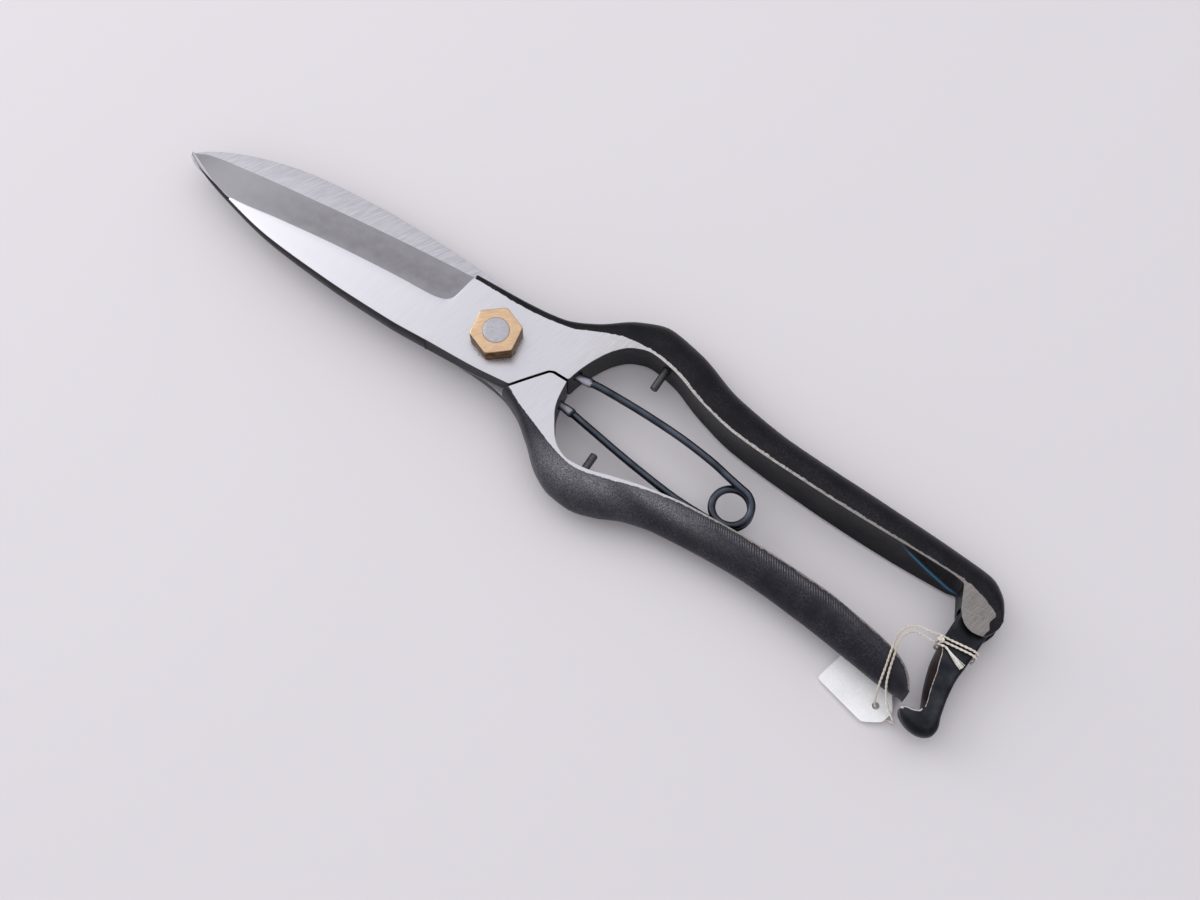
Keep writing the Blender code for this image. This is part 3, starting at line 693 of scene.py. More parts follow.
        # towards the tip the flat is painted paler, a painted highlight
        start, full = (x * MM for x in self.land_to_tip)
        highlight_to_tip = add_node(tree, "MapRange", {0: reach, 1: start, 2: full, 3: 0.0, 4: 0.95})
        colour = add_node(tree, "Mix", {0: highlight_to_tip, 6: colour, 7: linear(self.land_tip_highlight)}, 2,
                          data_type="RGBA")
        start, full = (x * MM for x in self.line_from)
        on_handle = add_node(tree, "MapRange", {0: reach, 1: start, 2: full})
        dull = self.handle_line(tree, coords, ragged, reach, lines)
        colour = add_node(tree, "Mix", {0: on_handle, 6: colour, 7: dull}, 2, data_type="RGBA")
        oiled = self.oil_ring(tree, coords)
        colour = add_node(tree, "Mix", {0: oiled, 6: colour, 7: linear(self.oil)}, 2, data_type="RGBA")
        depth = add_node(tree, "Attribute", out="Fac", attribute_name=Zone.LAND.value)
        broken = add_node(tree, "Math", {0: ragged, 1: -0.5}, operation="ADD")
        teeth = add_node(tree, "MapRange", {0: on_handle, 3: 0.7, 4: 1.3})
        broken = add_node(tree, "Math", {0: broken, 1: teeth}, operation="MULTIPLY")
        depth = add_node(tree, "Math", {0: depth, 1: broken}, operation="ADD")
        depth = add_node(tree, "MapRange", {0: depth, 1: -0.06, 2: 0.06}, interpolation_type="SMOOTHSTEP")
        face = add_node(tree, "Attribute", out="Fac", attribute_name=Zone.FACE.value)
        face = add_node(tree, "MapRange", {0: face, 1: -0.03, 2: 0.03})
        return Layer(add_node(tree, "Math", {0: depth, 1: face}, operation="MULTIPLY"), colour, 0.32)

    def handle_line(self, tree: Tree, coords: Socket, ragged: Socket, reach: Socket,
                    lines: Socket) -> Socket:
        """Scratched grey of the ground line along the handle, darker at the handle's end.

        The scratches are finer on the real steel, and are drawn 0.35 mm wide to show.

        Args:
            tree: the material's node tree.
            coords: object coordinates in metres.
            ragged: noise of the scale's border.
            reach: place along the forging in metres.
            lines: the flat's crossing lines.

        Returns:
            Its colour.
        """
        way = add_node(tree, "Mapping", {"Vector": coords, "Rotation": (0, 0, math.radians(self.line_way)),
                                         "Scale": (10, 1, 1)}, vector_type="TEXTURE")
        scratched = add_node(tree, "TexNoise", {"Vector": way, "Scale": per_mm(0.35), "Detail": 4.0})
        areas = add_node(tree, "MapRange", {0: ragged, 1: 0.44, 2: 0.56})
        scratched = add_node(tree, "Mix", {0: areas, 2: scratched, 3: lines})
        scratched = add_node(tree, "MapRange", {0: scratched, 1: 0.3, 2: 0.65})
        dull = add_node(tree, "Mix", {0: scratched, 6: linear(self.line_dark), 7: linear(self.line_pale)},
                        2, data_type="RGBA")
        start, full = (x * MM for x in self.line_to_end)
        at_end = add_node(tree, "MapRange", {0: reach, 1: start, 2: full, 3: 0.0, 4: 0.7})
        return add_node(tree, "Mix", {0: at_end, 6: dull, 7: linear(self.line_end)}, 2, data_type="RGBA")

    def oil_ring(self, tree: Tree, coords: Socket) -> Socket:
        """Dark flecks of dried oil round the nut.

        Args:
            tree: the material's node tree.
            coords: object coordinates in metres.

        Returns:
            Their mask.
        """
        flat = add_node(tree, "VectorMath", {0: coords, 1: (1, 1, 0)}, operation="MULTIPLY")
        radius = add_node(tree, "VectorMath", {0: flat}, "Value", operation="LENGTH")
        start, full = (x * MM for x in self.oil_reach)
        near = add_node(tree, "MapRange", {0: radius, 1: start, 2: full, 3: 0.46, 4: 0.0})
        fleck = add_node(tree, "TexNoise", {"Vector": coords, "Scale": per_mm(0.9), "Detail": 5.0,
                                            "Roughness": 0.75})
        both = add_node(tree, "Math", {0: near, 1: fleck}, operation="MULTIPLY")
        return add_node(tree, "MapRange", {0: both, 1: 0.2, 2: 0.3, 4: 0.6},
                        interpolation_type="SMOOTHSTEP")

    def bevel(self, tree: Tree, coords: Socket, reach: Socket) -> Layer:
        """Ground bevel: fine matte grey with soft clouds, darker to the cutting edge, painted paler at the
        tip as a highlight.

        Args:
            tree: the material's node tree.
            coords: object coordinates in metres.
            reach: place along the forging in metres.

        Returns:
            The bevel's layer.
        """
        depth = add_node(tree, "Attribute", out="Fac", attribute_name=Zone.BEVEL.value)
        across = add_node(tree, "MapRange", {0: depth, 1: 0.0, 2: self.bevel_wide, 3: 1.0, 4: 0.0})
        cloud = add_node(tree, "TexNoise", {"Vector": coords, "Scale": per_mm(3.0), "Detail": 5.0,
                                            "Roughness": 0.55})
        tone = add_node(tree, "Math", {0: cloud, 1: 0.8, 2: across}, operation="MULTIPLY_ADD")
        tone = add_node(tree, "MapRange", {0: tone, 1: 0.3, 2: 1.4})
        colour = add_node(tree, "Mix", {0: tone, 6: linear(self.bevel_dark), 7: linear(self.bevel_pale)}, 2,
                          data_type="RGBA")
        # towards the tip the bevel is painted paler, a painted highlight
        start, full = (x * MM for x in self.bevel_to_tip)
        highlight_to_tip = add_node(tree, "MapRange", {0: reach, 1: start, 2: full})
        colour = add_node(tree, "Mix", {0: highlight_to_tip, 6: colour, 7: linear(self.bevel_tip_highlight)}, 2,
                          data_type="RGBA")
        mask = add_node(tree, "MapRange", {0: depth, 1: -0.03, 2: 0.03})
        return Layer(mask, colour, 0.5)

    def hone(self, tree: Tree, coords: Socket) -> Layer:
        """Honed lap face: grey satin with short lines across the blade, drawn 0.4 mm apart to show.

        Args:
            tree: the material's node tree.
            coords: object coordinates in metres.

        Returns:
            The honed face's layer.
        """
        way = add_node(tree, "Mapping", {"Vector": coords, "Rotation": (0, 0, math.radians(self.hone_way)),
                                         "Scale": (14, 1, 1)}, vector_type="TEXTURE")
        lines = add_node(tree, "TexNoise", {"Vector": way, "Scale": per_mm(0.4), "Detail": 3.0,
                                            "Roughness": 0.7})
        lines = add_node(tree, "MapRange", {0: lines, 1: 0.28, 2: 0.74})
        colour = add_node(tree, "Mix", {0: lines, 6: linear(self.hone_dark), 7: linear(self.hone_pale)}, 2,
                          data_type="RGBA")
        depth = add_node(tree, "Attribute", out="Fac", attribute_name=Zone.HONE.value)
        return Layer(add_node(tree, "MapRange", {0: depth, 1: -0.04, 2: 0.04}), colour, 0.38)


@dataclass
class Forging:
    """One half of the snips: blade, boss, bow and handle in one forging, modelled nut side up.

    Plan curves give y along x. A pair of places is where something starts and where it is full.
    """

    name: str
    body: str
    slot: str
    tip: float
    end: float
    outer: PlanCurve
    flat: PlanCurve
    spine: PlanCurve
    bow: PlanCurve
    lean: PlanCurve
    land_from: float = 83.0
    land_to: float = -200.0
    land_step: float = 0.5
    line_thin: float = 0.0
    thin_from: Point = (-45.0, -65.0)
    patch: Sequence[Point] = ()
    wear_and_sheen_at: Sequence[tuple[float, float, float, float]] = ()
    blade_taper: float = 3.7
    taper_curve: float = 1.7
    blade_relief: float = 0.1
    blade_end: float = 14.0
    blade_step: float = 0.4
    plunge: Point = (14.3, 15.8)
    edge_land: float = 0.35
    edge_wide: float = 0.12
    tip_ground: Point = (89.0, 98.0)
    tip_ground_deep: float = 0.6
    round_at: Spot = (-40.0, -22.0, 14.0)
    round_power: Spot = (1.0, 0.8, 0.6)
    round_points: int = 14
    wall_points: int = 31
    spine_bulge: float = 0.35
    spine_lean: float = 0.1
    flat_least: float = 0.15
    end_drop: float = 0.9
    end_drop_x: float = -118.0
    hollow: float = 0.5
    hollow_x: float = -26.0
    hollow_fade: Point = (20.0, 10.0)
    boss_r: float = 16.9
    room_x: float = BOSS_X + 1.5
    corner: float = 0.16
    corner_share: float = 0.9
    crease: float = 28.0
    fine_spans: Sequence[Point] = ((14.0, 21.5), (-24.5, -9.0), (-136.0, -114.0))
    fine_end: float = 5.0
    fine_step: float = 0.35
    plain_step: float = 1.3
    past_edge: float = 1.0
    past_bevel: float = 30.0
    face_deep: float = 0.12
    bevel_in: float = 0.12
    bevel_above: float = 0.25
    hone_deep: float = 0.2
    hone_from: float = -19.0
    hammer_off: float = 0.6
    hammer_from: float = -20.0
    hammer_wide: Point = (9.0, 4.0)
    forge_wave: float = 0.05
    finish: Finish = field(default_factory=ForgedSteelFinish)

    def inner(self, x: float) -> float:
        """Plan line of the side that faces the other handle."""
        raise NotImplementedError

    def cutters(self) -> list[bpy.types.Mesh]:
        """Tools that are taken out of the forging before it is turned over."""
        raise NotImplementedError

    def dip(self, x: float, share: float) -> float:
        """Hollow of the inner face.

        Args:
            x: place along the forging.
            share: share of the face's height.

        Returns:
            Depth in mm.
        """
        bow_fade, end_fade = self.hollow_fade
        fade = min(1.0, (self.hollow_x - x) / bow_fade) * min(1.0, max(0.0, (x - self.end) / end_fade))
        return self.hollow * fade * math.sin(math.pi * share)

    def stations(self) -> list[float]:
        """Places of the sections, closer where the forging changes fast.

        Returns:
            Places from the tip to the handle's end.
        """
        spans = (*self.fine_spans, (self.end, self.end + self.fine_end))
        places = [self.tip]
        while places[-1] > self.end:
            x = places[-1]
            step = self.fine_step if any(low <= x <= high for low, high in spans) else self.plain_step
            places.append(max(x - step, self.end))
        return places

    def heights(self, x: np.ndarray | float) -> tuple[np.ndarray, np.ndarray]:
        """Height range of the section.

        Args:
            x: place or places along the forging.

        Returns:
            Its top and its full-height base.
        """
        drop = self.end_drop * np.maximum(0.0, (self.end_drop_x - x) / (self.end_drop_x - self.end))
        run = np.maximum(0.0, (x - BOSS_X) / (self.tip - BOSS_X))
        return FRONT_TOP - drop - self.blade_taper * run ** self.taper_curve, REAR_BASE + drop

    def section(self, x: float) -> np.ndarray:
        """Closed ring of points round the forging, blade-like past the bevel's plunge.

        Args:
            x: place along the forging.

        Returns:
            Points of the ring in mm.
        """
        top, base = self.heights(x)
        t = float(ramp(x, *self.plunge))
        blade = t * t * (3 - 2 * t)
        lap = FRONT_LAP + self.blade_relief
        outer, edge = float(self.outer.at(x)), self.inner(x)
        flat = min(float(self.flat.at(x)), edge - self.flat_least)
        power = float(np.interp(x, self.round_at, self.round_power))
        wide = MID + (lap + self.edge_land - MID) * blade
        low = lap if x > BOSS_X else base
        low_flat = flat + (outer + self.edge_wide - flat) * blade
        spread = self.spine_lean * float(np.interp(x, (SPINE_END_X, BOSS_X), (0, 1)))
        low_edge = edge + float(self.lean.at(x)) + spread * (top - low)
        turns = np.linspace(0, math.pi / 2, self.round_points)
        round_share, round_rise = np.sin(turns) ** power, np.cos(turns) ** power
        share = round_share + (np.sin(turns) ** 2 - round_share) * blade
        rise = round_rise + (np.cos(turns) ** 2 - round_rise) * blade
        ring = [(edge + (flat - edge) * k / 4, top) for k in range(4)]
        ring += [(flat + (outer - flat) * s, wide + (top - wide) * r) for s, r in zip(share, rise)]
        ring += [(low_flat + (outer - low_flat) * s, wide + (low - wide) * r)
                 for s, r in zip(round_share[-2::-1], round_rise[-2::-1])]
        ring += [(low_flat + (low_edge - low_flat) * k / 3, low) for k in (1, 2)]
        bottom = len(ring)
        ring.append((low_edge, low))
        for part in np.linspace(0, 1, self.wall_points)[1:-1]:
            hollow = -self.spine_bulge * math.sin(math.pi * part) if x > BOSS_X else 0.0
            if x < self.hollow_x:
                hollow = self.dip(x, part)
            ring.append((low_edge + (edge - low_edge) * part - hollow, low + (top - low) * part))
        return self.eased(np.array(ring), (0, bottom), x)

    def eased(self, ring: np.ndarray, corners: Sequence[int], x: float) -> np.ndarray:
        """Rounds corners of a ring by three points each.

        Args:
            ring: y, z of its points.
            corners: places of the corners in the ring.
            x: place along the forging.

        Returns:
            Points of the new ring in mm.
        """
        made = []
        for k, point in enumerate(ring):
            if k not in corners:
                made.append(point)
                continue
            ends = []
            for near in (ring[k - 1], ring[(k + 1) % len(ring)]):
                share = min(1, self.corner / max(np.linalg.norm(near - point), 1e-6))
                ends.append(point + (near - point) * share * self.corner_share)
            before, after = ends
            made += [before, (before + after + 2 * point) / 4, after]
        return np.array([(x, y, z) for y, z in made])

    def seats(self, peg_x: float, spring_end: Spot) -> list[bpy.types.Mesh]:
        """Tools of the holes that both halves have.

        Args:
            peg_x: place of the peg along the forging.
            spring_end: point where the wire ends in its seat.

        Returns:
            Tools for the bolt, the peg and the spring's end.
        """
        wall = self.inner(peg_x)
        x, y, z = spring_end
        return [hole("pivot_hole", BOLT_HOLE_R, (0, 0, -5), (0, 0, 30)),
                hole("peg_hole", PEG_D / 2 + HOLE_CLEAR, (peg_x, wall - PEG_DEEP - END_CLEAR, MID),
                     (peg_x, wall + 4, MID)),
                hole("spring_seat", WIRE_D / 2 + SEAT_CLEAR, (x + END_CLEAR, y, z), (-28, y, z))]

    def build(self) -> bpy.types.Object:
        """Lofts, cuts, zones and finishes the forging.

        Returns:
            The piece.
        """
        mesh = loft(self.name, [self.section(x) for x in self.stations()])
        made = finished(self.name, mesh, self.finish)
        for tool in self.cutters():
            cut(made, tool)
        zones = self.zones(made.data)
        self.hammer(made.data, zones)
        for zone, values in zones.items():
            store(made.data, zone.value, values)
        made.data.shade_smooth()
        made.data.set_sharp_from_angle(angle=math.radians(self.crease))
        return made

    def zones(self, mesh: bpy.types.Mesh) -> dict[Zone, np.ndarray]:
        """Works out each point's zone values.

        Args:
            mesh: the cut forging, in metres.

        Returns:
            Values of its points by zone.
        """
        spots = np.zeros(len(mesh.vertices) * 3)
        mesh.vertices.foreach_get("co", spots)
        spots = spots.reshape(-1, 3) / MM
        x, z = spots[:, 0], spots[:, 2]
        top, base = self.heights(x)
        land, low = self.lands(spots[:, :2])
        return {Zone.LAND: np.where(z > MID, land, low),
                Zone.FACE: np.maximum(self.face_deep - (top - z), self.face_deep - (z - base)),
                Zone.BEVEL: np.minimum(self.bevelled(spots[:, :2]), z - FRONT_LAP - self.bevel_above),
                Zone.HONE: np.where(x > self.hone_from, self.hone_deep - np.abs(z - FRONT_LAP), -1.0),
                Zone.WEAR_AND_SHEEN: self.worn_and_sheen(spots),
                Zone.TEMPER_AND_HIGHLIGHT: self.tempered_and_highlight(spots),
                Zone.FILED: self.filed(spots)}

    def lands(self, plan: np.ndarray) -> tuple[np.ndarray, np.ndarray]:
        """Depth of plan points in the ground flats.

        Args:
            plan: x, y of the points.

        Returns:
            Signed distance to the flat on top and to the one underneath, positive inside.
        """
        line = np.arange(self.land_from, max(self.land_to, self.end), -self.land_step)
        edge = np.array([self.inner(k) for k in line])
        flat = np.minimum(self.flat.at(line), edge - self.flat_least)
        flat = np.where(line > self.plunge[0], self.outer.at(line) - self.past_edge, flat)
        land = self.strip(plan, line, flat, edge + self.past_edge)
        if self.patch:
            land = np.maximum(land, inside(plan, np.array(self.patch, float)))
        rear = line < SPINE_END_X
        thin = self.line_thin * ramp(line[rear], *self.thin_from)
        far = edge[rear] + self.lean.at(line[rear]) + self.past_edge
        return land, self.strip(plan, line[rear], flat[rear] + thin, far)

    def bevelled(self, plan: np.ndarray) -> np.ndarray:
        """Depth of plan points in the ground bevel.

        Args:
            plan: x, y of the points.

        Returns:
            Signed distance to the bevel's ridge, positive on the bevel.
        """
        blade = np.arange(self.tip, self.blade_end, -self.blade_step)
        close = np.array([self.inner(k) for k in blade]) - self.bevel_in
        close = close + self.tip_ground_deep * ramp(blade, *self.tip_ground)
        ridge = np.where(blade > self.land_from, close, self.flat.at(blade))
        return self.strip(plan, blade, self.outer.at(blade) - self.past_bevel, ridge)

    @staticmethod
    def strip(plan: np.ndarray, line: np.ndarray, low: np.ndarray, high: np.ndarray) -> np.ndarray:
        """Signed distance of plan points to the strip between two lines over the same places."""
        outline = np.concatenate([np.stack([line, low], 1), np.stack([line, high], 1)[::-1]])
        return inside(plan, outline)

    def worn_and_sheen(self, spots: np.ndarray) -> np.ndarray:
        """Rubbing from hands, and a painted sheen, from soft spots that are given as x, y and two half
        widths.

        Args:
            spots: points of the forging in mm.

        Returns:
            Share of rubbing and painted sheen at each point.
        """
        total = np.zeros(len(spots))
        for x, y, long, wide in self.wear_and_sheen_at:
            off = ((spots[:, 0] - x) / long) ** 2 + ((spots[:, 1] - y) / wide) ** 2
            total = np.maximum(total, np.exp(-off))
        return total

    def tempered_and_highlight(self, spots: np.ndarray) -> np.ndarray:
        """Share of tempering blue and painted highlight at each point: none by default."""
        return np.zeros(len(spots))

    def filed(self, spots: np.ndarray) -> np.ndarray:
        """Share of file marks at each point: none by default."""
        return np.zeros(len(spots))

    def hammer(self, mesh: bpy.types.Mesh, zones: dict[Zone, np.ndarray]) -> None:
        """Gives the black surfaces the slight hollows that hammering leaves.

        Args:
            mesh: the cut forging, in metres.
            zones: values of its points by zone.
        """
        land = np.minimum(zones[Zone.LAND], zones[Zone.FACE])
        ground = np.max([land, zones[Zone.BEVEL], zones[Zone.HONE]], axis=0)
        broad, small = (wide * MM for wide in self.hammer_wide)
        for spot, normal, value in zip(mesh.vertices, mesh.vertex_normals, ground):
            if value < -self.hammer_off and spot.co.x < self.hammer_from * MM:
                wave = noise.noise(spot.co / broad) + 0.5 * noise.noise(spot.co / small)
                spot.co -= normal.vector * abs(wave) * self.forge_wave * MM


@dataclass
class FrontForging(Forging):
    """Front half: the upper blade, the seam's edge on its boss, and the slotted handle end."""

    scoop: float = 1.7
    scoop_from: float = -115.5
    scoop_to: float = -134.5
    scoop_low: float = 0.86
    scoop_curve: float = 0.62
    scoop_ends: Point = (3.0, 6.0)
    scoop_rim: int = 8
    temper_highlight_wide: float = 0.035
    temper_highlight_down: float = 0.02
    temper_highlight_ends: Point = (5.0, 8.0)
    temper_highlight_skin: float = 0.25
    shoulder_arc: Point = (180.0, 238.0)
    shoulder_points: int = 33
    slot_room: float = 0.7
    slot_clear: float = 0.3

    def inner(self, x: float) -> float:
        """Spine, then the seam's edge, then the bow.

        Args:
            x: place along the forging.

        Returns:
            y of the inner side.
        """
        if x >= SPINE_END_X:
            return float(self.spine.at(x))
        if x >= STOP_X:
            seam = np.array(shifted(SEAM, SHOULDER_GAP / 2))[::-1]
            return min(float(np.interp(x, seam[:, 0], seam[:, 1])), float(self.spine.at(SPINE_END_X)))
        return float(self.bow.at(x))

    def scoop_floor(self, run: np.ndarray | float) -> np.ndarray | float:
        """Share of the height at which the scoop starts, at a share of its length."""
        return 1 - self.scoop_low * run ** self.scoop_curve

    def dip(self, x: float, share: float) -> float:
        """Hollow of the inner face, with a ground scoop under the land near the handle's end.

        Args:
            x: place along the forging.
            share: share of the face's height.

        Returns:
            Depth in mm.
        """
        plain = super().dip(x, share)
        run = (self.scoop_from - x) / (self.scoop_from - self.scoop_to)
        if not 0 < run < 1:
            return plain
        floor = self.scoop_floor(run)
        up = max(0.0, (share - floor) / (1 - floor))
        first, last = self.scoop_ends
        deep = self.scoop * min(1.0, first * run) * min(1.0, last * (1 - run))
        return plain + deep * up * (1 - up ** self.scoop_rim)

    def cutters(self) -> list[bpy.types.Mesh]:
        """Tools of the rear boss's room, the holes and the slot, which reach well past the forging.

        Returns:
            Closed meshes in metres.
        """
        shoulder = self.boss_r + SHOULDER_GAP / 2
        turns = np.radians(np.linspace(*self.shoulder_arc, self.shoulder_points))
        arc = [(shoulder * math.cos(t), shoulder * math.sin(t)) for t in turns]
        away = (2.5 * arc[-1][0], 2.5 * arc[-1][1])
        room = [(self.room_x, 40), (-30, 40), (-30, 0)] + arc + [away, (self.room_x, -60)]
        x, y = LATCH_AT
        front, low = x + LATCH_EYE_R + self.slot_room, y - LATCH_EYE_R - self.slot_room
        half = LATCH_THICK / 2 + self.slot_clear
        slot = [(front, low), (front, 20), (-160, 20), (-160, low)]
        return [prism("rear_boss_room", room, -5, FRONT_LAP),
                *self.seats(FRONT_PEG_X, FRONT_SEAT),
                prism("latch_slot", slot, MID - half, MID + half),
                hole("latch_pin_hole", PIN_D / 2 + HOLE_CLEAR, (x, y, -3), (x, y, PIN_ENDS[1] + END_CLEAR))]

    def tempered_and_highlight(self, spots: np.ndarray) -> np.ndarray:
        """Tempering blue along the scoop's lower edge, on the inner face alone, drawn bright as a painted
        highlight.

        Args:
            spots: points of the forging in mm.

        Returns:
            Share of tempering blue and painted highlight at each point.
        """
        x, y, z = spots.T
        run = ramp(x, self.scoop_from, self.scoop_to)
        top, base = self.heights(x)
        share = ramp(z, base, top)
        lean = self.lean.at(x) * (1 - share)
        face = self.bow.at(x) + lean - np.array([self.dip(a, s) for a, s in zip(x, share)])
        off = (share - self.scoop_floor(run) + self.temper_highlight_down) / self.temper_highlight_wide
        first, last = self.temper_highlight_ends
        line = np.exp(-off ** 2) * np.clip(first * run, 0, 1) * np.clip(last * (1 - run), 0, 1)
        return np.where((np.abs(y - face) < self.temper_highlight_skin) & (x < self.scoop_from), line, 0.0)


@dataclass
class RearForging(Forging):
    """Rear half, made as the front one is and turned over: the lower blade and the plain handle."""

    filed_edge: Point = (-0.1, 0.3)
    filed_wide: Point = (2.5, 1.1)
    filed_from: Point = (-50.0, -60.0)
    filed_to: Point = (-124.0, -102.0)

    def inner(self, x: float) -> float:
        """Spine, then the round boss, then the bow.

        Args:
            x: place along the forging.

        Returns:
            y of the inner side.
        """
        round_boss = math.sqrt(max(self.boss_r ** 2 - x * x, 0.0))
        if x >= SPINE_END_X:
            return min(float(self.spine.at(x)), round_boss if x < 0 else math.inf)
        if x >= STOP_X:
            return max(round_boss, -SHOULDER_GAP / 2) if x > -self.boss_r else -SHOULDER_GAP / 2
        return float(self.bow.at(x))

    def cutters(self) -> list[bpy.types.Mesh]:
        """Tools of the front boss's room and the holes, which reach well past the forging.

        Returns:
            Closed meshes in metres, turned over.
        """
        seam = [(x, -y) for x, y in reversed(shifted(SEAM, -SHOULDER_GAP / 2))]
        room = [(self.room_x, 40), (-30, 40), (-30, seam[0][1])] + seam + [(2, -40), (self.room_x, -40)]
        spring_end = (REAR_SEAT[0], -REAR_SEAT[1], 2 * MID - REAR_SEAT[2])
        return [prism("front_boss_room", room, -5, FRONT_LAP), *self.seats(REAR_PEG_X, spring_end)]

    def filed(self, spots: np.ndarray) -> np.ndarray:
        """Marks beside the handle's inner edge, on the nut side once the half is turned over.

        Args:
            spots: points of the forging in mm.

        Returns:
            Share of file marks at each point.
        """
        x, y, z = spots.T
        off = self.flat.at(x) - y
        beside = ramp(off, *self.filed_edge) * ramp(off, *self.filed_wide)
        along = ramp(x, *self.filed_from) * ramp(x, *self.filed_to)
        return np.where(z < MID, beside * along, 0.0)

    def build(self) -> bpy.types.Object:
        """Builds the half and turns it over about the lap's middle.

        Returns:
            The piece.
        """
        made = super().build()
        flip = Matrix.Translation((0, 0, MID * MM)) @ Matrix.Rotation(math.pi, 4, "X")
        made.data.transform(flip @ Matrix.Translation((0, 0, -MID * MM)))
        return made


FRONT = FrontForging(
    name="front_forging", body="front_half", slot="front_forging", tip=100.2, end=-146.8,
    outer=PlanCurve(
        (100.2, -1.0), (97, -2.6), (83, -5.1), (67, -7.2), (38, -10.5), (15, -12.4), (-2, -13.4),
        (-11, -14.6), (-19, -18.4), (-28, -25.4), (-36, -28.36), (-46, -26.8), (-61, -21.8), (-80, -19),
        (-105, -18), (-130, -16.8), (-139, -15.9), (-143.5, -13.2), (-146, -9.5), (-146.8, -7.0)),
    flat=PlanCurve(
        (100.2, -0.8), (83, 5.0), (68, 3.3), (51, 1.5), (31, 0.0), (21, -0.5), (17.3, -1.4), (15.8, -3.0),
        (15.2, -5.4), (14.3, -10.5), (0, -10.7), (-14, -12.5), (-22, -16), (-28, -18.2), (-36, -19.0),
        (-44, -17.9), (-54, -14.4), (-66, -11.8), (-80, -10.9), (-105, -10.4), (-133, -10.4), (-138, -10.6),
        (-143, -9.4), (-146.8, -6.0)),
    spine=PlanCurve(
        (100.2, -0.6), (95, 1.9), (83, 5.6), (67, 9.0), (53, 10.3), (40, 11.0), (26, 11.2), (15, 10.7),
        (1, 10.1), (SPINE_END_X, 9.0)),
    bow=PlanCurve(
        (-22, -0.35), (-22.6, -3.0), (-24.5, -8.2), (-27, -12.8), (-31, -16.7), (-36, -18.3), (-43, -17.3),
        (-54, -13.7), (-66, -11.1), (-80, -10.2), (-105, -9.7), (-128, -9.8), (-133.6, -9.3),
        (-135.2, -6.2), (-137, -2.4), (-139, -0.4), (-141.5, 0.4), (-144, 0.0), (-146, -2.2),
        (-146.8, -4.4)),
    lean=PlanCurve((-45, 0.0), (-70, 1.1), (-95, 2.0), (-115, 2.3), (-130, 2.0), (-136, 0.0)),
    land_to=-134.0,
    patch=((-132, -10.4), (-132, -7.0), (-136.0, 0.5), (-139, 2), (-144.2, 2), (-144.9, -2.8),
           (-143.8, -4.8), (-144.8, -6.8), (-140.2, -8.7), (-136.6, -9.8)))

REAR = RearForging(
    name="rear_forging", body="rear_half", slot="rear_forging", tip=101.0, end=-136.2,
    outer=PlanCurve(
        (101.0, 0.2), (98, -1.5), (83, -3.8), (67, -5.5), (38, -8.0), (15, -9.4), (0, -9.8), (-7.7, -10.8),
        (-14, -13.2), (-21, -18.3), (-28, -24.2), (-34, -26.8), (-40, -27.4), (-46, -25.9), (-54, -22.3),
        (-62, -20.5), (-86, -19), (-105, -20.2), (-120, -22), (-132, -23.2), (-136.2, -23.0)),
    flat=PlanCurve(
        (101.0, 0.5), (83, 9.8), (68, 6.0), (51, 3.8), (31, 2.0), (21, 1.5), (17.3, 0.7), (15.8, -1.0),
        (15.2, -3.2), (14.3, -8.0), (0, -8.6), (-9, -9.4), (-16, -12.4), (-22, -14.6), (-28, -16.9),
        (-36, -18.6), (-44, -16.9), (-54, -14.0), (-66, -12.0), (-84, -11.0), (-105, -11.6), (-120, -13.6),
        (-127, -15.1), (-131.5, -17.1), (-134.5, -19.8), (-136.2, -22.2)),
    spine=PlanCurve(
        (101.0, 0.7), (98.5, 3.0), (83, 10.2), (68, 13.6), (54, 14.9), (42, 15.4), (32, 15.4),
        (17, 14.8), (4, 14.1), (-5, 13.9), (SPINE_END_X, 13.9)),
    bow=PlanCurve(
        (-22, -0.35), (-22.4, -4.5), (-25, -10.6), (-30, -16.4), (-34, -17.7), (-38, -17.4), (-46, -15.2),
        (-55, -12.9), (-66, -11.2), (-84, -10.3), (-105, -10.9), (-117, -12.5), (-125, -13.9),
        (-129.5, -15.2), (-132.8, -17.1), (-135, -19.4), (-136.2, -21.6)),
    lean=PlanCurve((-45, 0.0), (-136.2, 0.0)),
    line_thin=0.25,
    # the rear half's scale is painted paler than the front half's, for the light that falls on it
    finish=ForgedSteelFinish(
        "forged_carbon_steel_black_scale_filed_painted_light", scale_dark="#34343a", scale_pale="#56565c",
        line_dark="#7b7774", line_pale="#aba7a3", line_from=(-54.0, -72.0)),
    # these spots are partly rubbing from hands and partly a painted sheen on the bow
    wear_and_sheen_at=((-34, -21.0, 11.0, 5.0), (-42, -19.5, 10.0, 3.5), (-60, -15.0, 16.0, 2.2)))


# pivot


